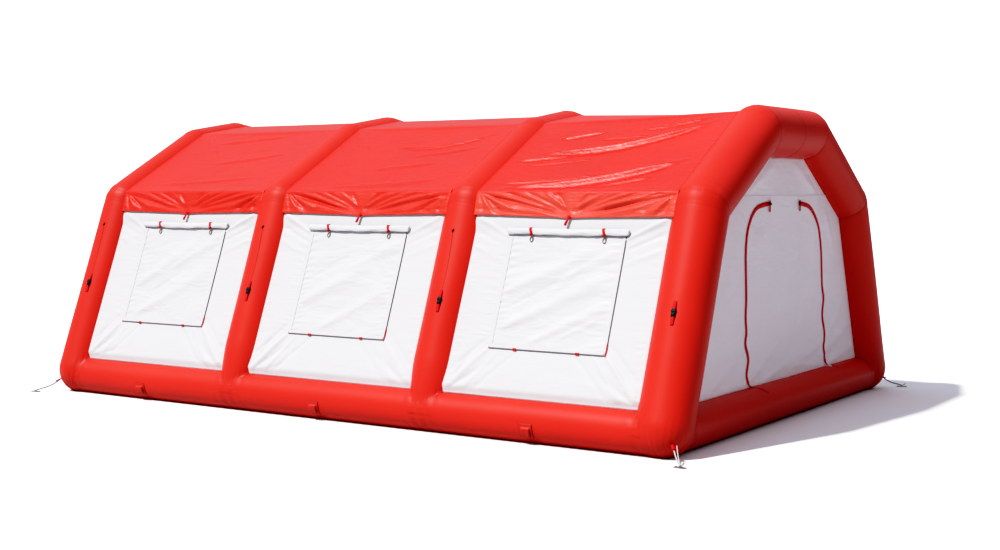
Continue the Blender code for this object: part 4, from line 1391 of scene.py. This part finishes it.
def base_patch(i, side):
    """Square patch welded on the base tube: a bordered sheet with a raised pocket on it."""
    mid, tag = bay_place(i, side)
    if side < 0:
        mid = PATCH_X[i]
    u = np.linspace(-1, 1, 32)[None, :]
    t = u.T
    edge = np.minimum(1 - np.abs(u), 1 - np.abs(t))
    pocket = ease((0.72 - np.abs(u)) / 0.12) * ease((0.60 - np.abs(t + 0.04)) / 0.12)
    lift = 0.0050 * ease(edge / 0.10) + 0.020 * pocket * (1 + 0.25 * np.sin(4 * u + i) * t)
    lift = lift + 0.006 * ease((0.20 - np.abs(t + 0.86)) / 0.10) * ease((0.55 - np.abs(u)) / 0.1)
    angle = np.radians(-20 + 21 * t)
    r = sizes().base_r + 0.0006 + lift
    p = stack(mid + 0.066 * u, side * (sizes().leg_y + r * np.cos(angle)), base_z() + r * np.sin(angle))
    # Painted shadow: rim is a band inside the border plus the pocket's lower rim, which patch_cloth darkens.
    rim = bell((edge - 0.03) / 0.045) + 0.8 * pocket * (1 - pocket) * 4 * (t < 0.1)
    ob = mesh_piece(f"patch_{tag}", p, (u * 0.066, t * 0.07), patch_cloth, flip=side > 0,
                    pucker=np.clip(rim, 0, 1))
    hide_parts(f"base_patch_{tag}")


def pull_tab(i):
    """The folded webbing tab under the middle of a front valance, slanting a little, with its slider."""
    face = sizes().valance_out
    mid, _ = bay_place(i, -1)
    _, normal = wall_axes(-1)
    v = np.array([1.772, 1.750, 1.72, 1.695, 1.682])
    x = np.array([0.004, 0.0, -0.010, -0.018, -0.022])
    path = smooth_path(wall_xyz(-1, mid + x, v, face + 0.010 - 0.02 * (1.78 - v)), 20)
    ob = strip(f"tab_web_{i + 1}", path, normal, flat_section(0.026, 0.004, 0.0015), red_tape)
    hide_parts(f"pull_tab_front_{i + 1}")
    knob = wall_line(-1, mid, [(-0.012, 1.712, face + 0.012), (-0.018, 1.695, face + 0.013),
                               (-0.022, 1.680, face + 0.010)])
    strip(f"tab_slider_{i + 1}", smooth_path(knob, 8), normal, flat_section(0.020, 0.006, 0.002), dark_tape)


PEG = (3.76, 2.71, 0.0126)    # where a line meets its peg, from the middle of the ground


def anchor_route(sx, sy):
    """A corner anchor's line, from the round foot down to the peg, sagging a little; and its way out."""
    foot = foot_centre()
    way = np.array([sx * 0.62, sy * 0.66, -0.42])
    way /= np.linalg.norm(way)
    start = np.array([sx * arch_xs()[3], sy * -foot[0], foot[1]]) + way * (sizes().arch_r + 0.002)
    t = np.linspace(0, 1, 24)[:, None]
    p = start + (np.array([sx, sy, 1]) * PEG - start) * t
    p[:, 2] -= (0.030 * np.sin(np.pi * t) ** 1.2 * (1 - 0.75 * t))[:, 0]
    p[:, 2] = np.maximum(p[:, 2], PEG[2])
    return p, way


def anchor(k, sx, sy):
    """One corner's anchor: the cord, its red loop on the foot, and the peg's better metal."""
    route, out = anchor_route(sx, sy)
    near = (sx, sy) == (1, -1)
    flat = (0, 0, 1.0)
    cord = strip(f"anchor_line_{k}", route, flat, round_section(0.006), pale_webbing if near else grey_cord)
    peg = NODES[f"ground_peg_{k}"]
    peg.data.materials.clear()
    peg.data.materials.append(material(peg_steel))
    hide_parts(f"anchor_cord_{k}")
    tuple(route[0])
    float(lengths(route)[-1])
    way = (route[-1] - route[0]) / np.linalg.norm(route[-1] - route[0])
    tab = [route[0] + way * along + out * off
           for along, off in ((-0.05, 0.012), (-0.01, 0.010), (0.03, 0.004), (0.065, 0.0))]
    strip(f"anchor_loop_{k}", smooth_path(tab, 14), out + (0, 0, 0.8), flat_section(0.034, 0.008, 0.003),
          red_tape)
    if near:
        other = route + np.array([0.030, 0.010, 0.004]) * np.linspace(1, 0.1, len(route))[:, None]
        strip("anchor_second_strand", other[1:], flat, round_section(0.005), pale_webbing)
    hook = route[-1] + np.array([(0, 0, 0.002), (sx * 0.02, sy * 0.01, 0.008), (sx * 0.04, 0, 0.026)])
    strip(f"peg_hook_{k}", smooth_path(hook, 10), flat, round_section(0.004, 10), peg_steel)


# --- operators ------------------------------------------------------------------------------------
class BuildAirFrame(bpy.types.Operator):
    """Skins of the four arches and the four base tubes"""
    bl_idname = "shelter.air_frame"
    bl_label = "Air frame"

    def execute(self, context):
        for i in range(4):
            arch_skin(i)
        for key in ("front", "back", "left", "right"):
            base_skin(key)
        return {"FINISHED"}


class BuildRoof(bpy.types.Operator):
    """Roof sheets with their valances"""
    bl_idname = "shelter.roof"
    bl_label = "Roof"

    def execute(self, context):
        for i in range(3):
            roof_sheet(i)
        return {"FINISHED"}


class BuildSides(bpy.types.Operator):
    """Side panels, window cloths and rolled flaps"""
    bl_idname = "shelter.sides"
    bl_label = "Sides"

    def execute(self, context):
        for side in (-1, 1):
            for i in range(3):
                side_panel(i, side)
                window_piece(i, side)
                window_edging(i, side)
                flap_roll(i, side)
                roll_ties(i, side)
        return {"FINISHED"}


class BuildEnds(bpy.types.Operator):
    """End walls and the door's zips"""
    bl_idname = "shelter.ends"
    bl_label = "Ends"

    def execute(self, context):
        end_wall(1)
        end_wall(-1)
        door_zip("left", ZIP_LEFT, [(0.06, 84.0), (0.14, 60.0), (0.18, 42.0)])
        door_zip("right", ZIP_RIGHT, [(0.06, 84.0), (0.14, 60.0)])
        end_seams()
        return {"FINISHED"}


class BuildAnchors(bpy.types.Operator):
    """Anchor cords with their loops and pegs at the four corners"""
    bl_idname = "shelter.anchors"
    bl_label = "Anchor Cords"

    def execute(self, context):
        for k, (sx, sy) in enumerate(((-1, -1), (1, -1), (1, 1), (-1, 1))):
            anchor(k + 1, sx, sy)
        return {"FINISHED"}


class BuildFittings(bpy.types.Operator):
    """Leg straps, base patches and pull tabs"""
    bl_idname = "shelter.fittings"
    bl_label = "Fittings"

    def execute(self, context):
        for side in (-1, 1):
            for i in range(4):
                leg_strap(i, side)
            for i in range(3):
                base_patch(i, side)
        for i in range(3):
            pull_tab(i)
        return {"FINISHED"}


def studio_light():
    """World light: white behind everything; the light itself comes from above and from the front left."""
    world = bpy.data.worlds.new("studio")
    world.use_nodes = True
    g = Graph(world.node_tree)
    way = g.node("ShaderNodeTexCoord", out="Generated")
    across, _, high = g.parts(way)
    sky = g.mix(g.ramp(high, 0.1, 0.7), (0.42, 0.42, 0.46, 1.0), (0.76, 0.76, 0.84, 1.0))
    sky = g.mix(g.ramp(across, -0.3, 0.6) * g.ramp(high, 0.75, 0.25), sky, (0.09, 0.09, 0.11, 1.0))
    seen = g.node("ShaderNodeLightPath", out="Is Camera Ray")
    colour = g.mix(seen, sky, (1.6, 1.6, 1.6, 1.0))
    light = g.node("ShaderNodeBackground", None, {"Color": colour, "Strength": 1.0})
    g.node("ShaderNodeOutputWorld", None, {"Surface": light})
    return world


# Light in the scene and how bright it is shown: deep shades stay deep, bright cloth keeps its folds.
FILM = [(0.02, 0.001), (0.05, 0.015), (0.12, 0.075), (0.30, 0.22), (0.42, 0.34), (0.54, 0.47), (0.80, 0.74),
        (1.05, 0.885), (1.22, 0.95), (1.34, 1.0)]
FILM_WHITE = 1.40


def film_curve(view):
    """Shows light through a soft S-shaped curve that reaches white at FILM_WHITE."""
    view.use_curve_mapping = True
    mapping = view.curve_mapping
    mapping.white_level = (FILM_WHITE,) * 3
    curve = mapping.curves[3]
    for light, shown in FILM:
        curve.points.new(light / FILM_WHITE, shown)
    for point in curve.points:
        point.handle_type = "AUTO_CLAMPED"
    mapping.update()

def aim(ob, way):
    """Turns a lamp or a camera to look along a direction."""
    ob.rotation_euler = Vector(way).to_track_quat("-Z", "Y").to_euler()


def placed(scene, name, data, way, at=(0.0, 0.0, 0.0)):
    """A lamp or a camera in the scene, looking along a direction."""
    ob = bpy.data.objects.new(name, data)
    scene.collection.objects.link(ob)
    ob.location = at
    aim(ob, way)
    return ob


FLOOR_HALF = 60.0
SUN_WAY = (0.31, 0.66, -1.0)
EYE = (8.492, -12.387, 2.105)      # the camera's place
YAW, PITCH = 2.1534, -0.0587       # where it looks, from +X and from level
LENS = 50.84                       # focal length in millimetres on a 36 mm sensor


class BuildStage(bpy.types.Operator):
    """Pale floor, soft daylight and the camera"""
    bl_idname = "shelter.stage"
    bl_label = "Stage"

    def execute(self, context):
        scene = context.scene
        corners = [(x * FLOOR_HALF, y * FLOOR_HALF, 0.0) for x, y in ((-1, -1), (1, -1), (1, 1), (-1, 1))]
        mesh = bpy.data.meshes.new("floor")
        mesh.from_pydata(corners, [], [(0, 1, 2, 3)])
        mesh.materials.append(material(pale_floor))
        floor = bpy.data.objects.new("floor", mesh)
        scene.collection.objects.link(floor)
        floor.location.z = -0.001
        scene.world = studio_light()
        sun = bpy.data.lights.new("sun", "SUN")
        sun.energy = 4.6
        sun.angle = math.radians(2.5)
        sun.color = (1.0, 0.985, 0.96)
        placed(scene, "sun", sun, SUN_WAY)
        camera = bpy.data.cameras.new("camera")
        camera.sensor_width = 36.0
        camera.lens = LENS
        way = (math.cos(PITCH) * math.cos(YAW), math.cos(PITCH) * math.sin(YAW), math.sin(PITCH))
        scene.camera = placed(scene, "camera", camera, way, EYE)
        scene.view_settings.view_transform = "Standard"
        film_curve(scene.view_settings)
        return {"FINISHED"}


class ShelterPanel(bpy.types.Panel):
    """Lists the shelter's sizes, colours and pieces"""
    bl_label = "Shelter"
    bl_idname = "VIEW3D_PT_shelter"
    bl_space_type = "VIEW_3D"
    bl_region_type = "UI"
    bl_category = "Shelter"

    def draw(self, context):
        column = self.layout.column()
        for group in (context.scene.shelter_sizes, context.scene.shelter_colours):
            for key in group.__annotations__:
                column.prop(group, key)
        for op in OPERATORS:
            column.operator(op.bl_idname)


OPERATORS = (BuildStage, BuildAnchors, BuildAirFrame, BuildRoof, BuildSides, BuildEnds, BuildFittings)
CLASSES = (ShelterSizes, ShelterColours) + OPERATORS + (ShelterPanel,)


def register():
    for cls in CLASSES:
        bpy.utils.register_class(cls)
    bpy.types.Scene.shelter_sizes = bpy.props.PointerProperty(type=ShelterSizes)
    bpy.types.Scene.shelter_colours = bpy.props.PointerProperty(type=ShelterColours)


def unregister():
    del bpy.types.Scene.shelter_sizes
    del bpy.types.Scene.shelter_colours
    for cls in reversed(CLASSES):
        bpy.utils.unregister_class(cls)


def main():
    register()
    bpy.ops.shelter.stage()
    bpy.ops.shelter.anchors()
    bpy.ops.shelter.air_frame()
    bpy.ops.shelter.roof()
    bpy.ops.shelter.sides()
    bpy.ops.shelter.ends()
    bpy.ops.shelter.fittings()


if __name__ == "__main__":
    main()
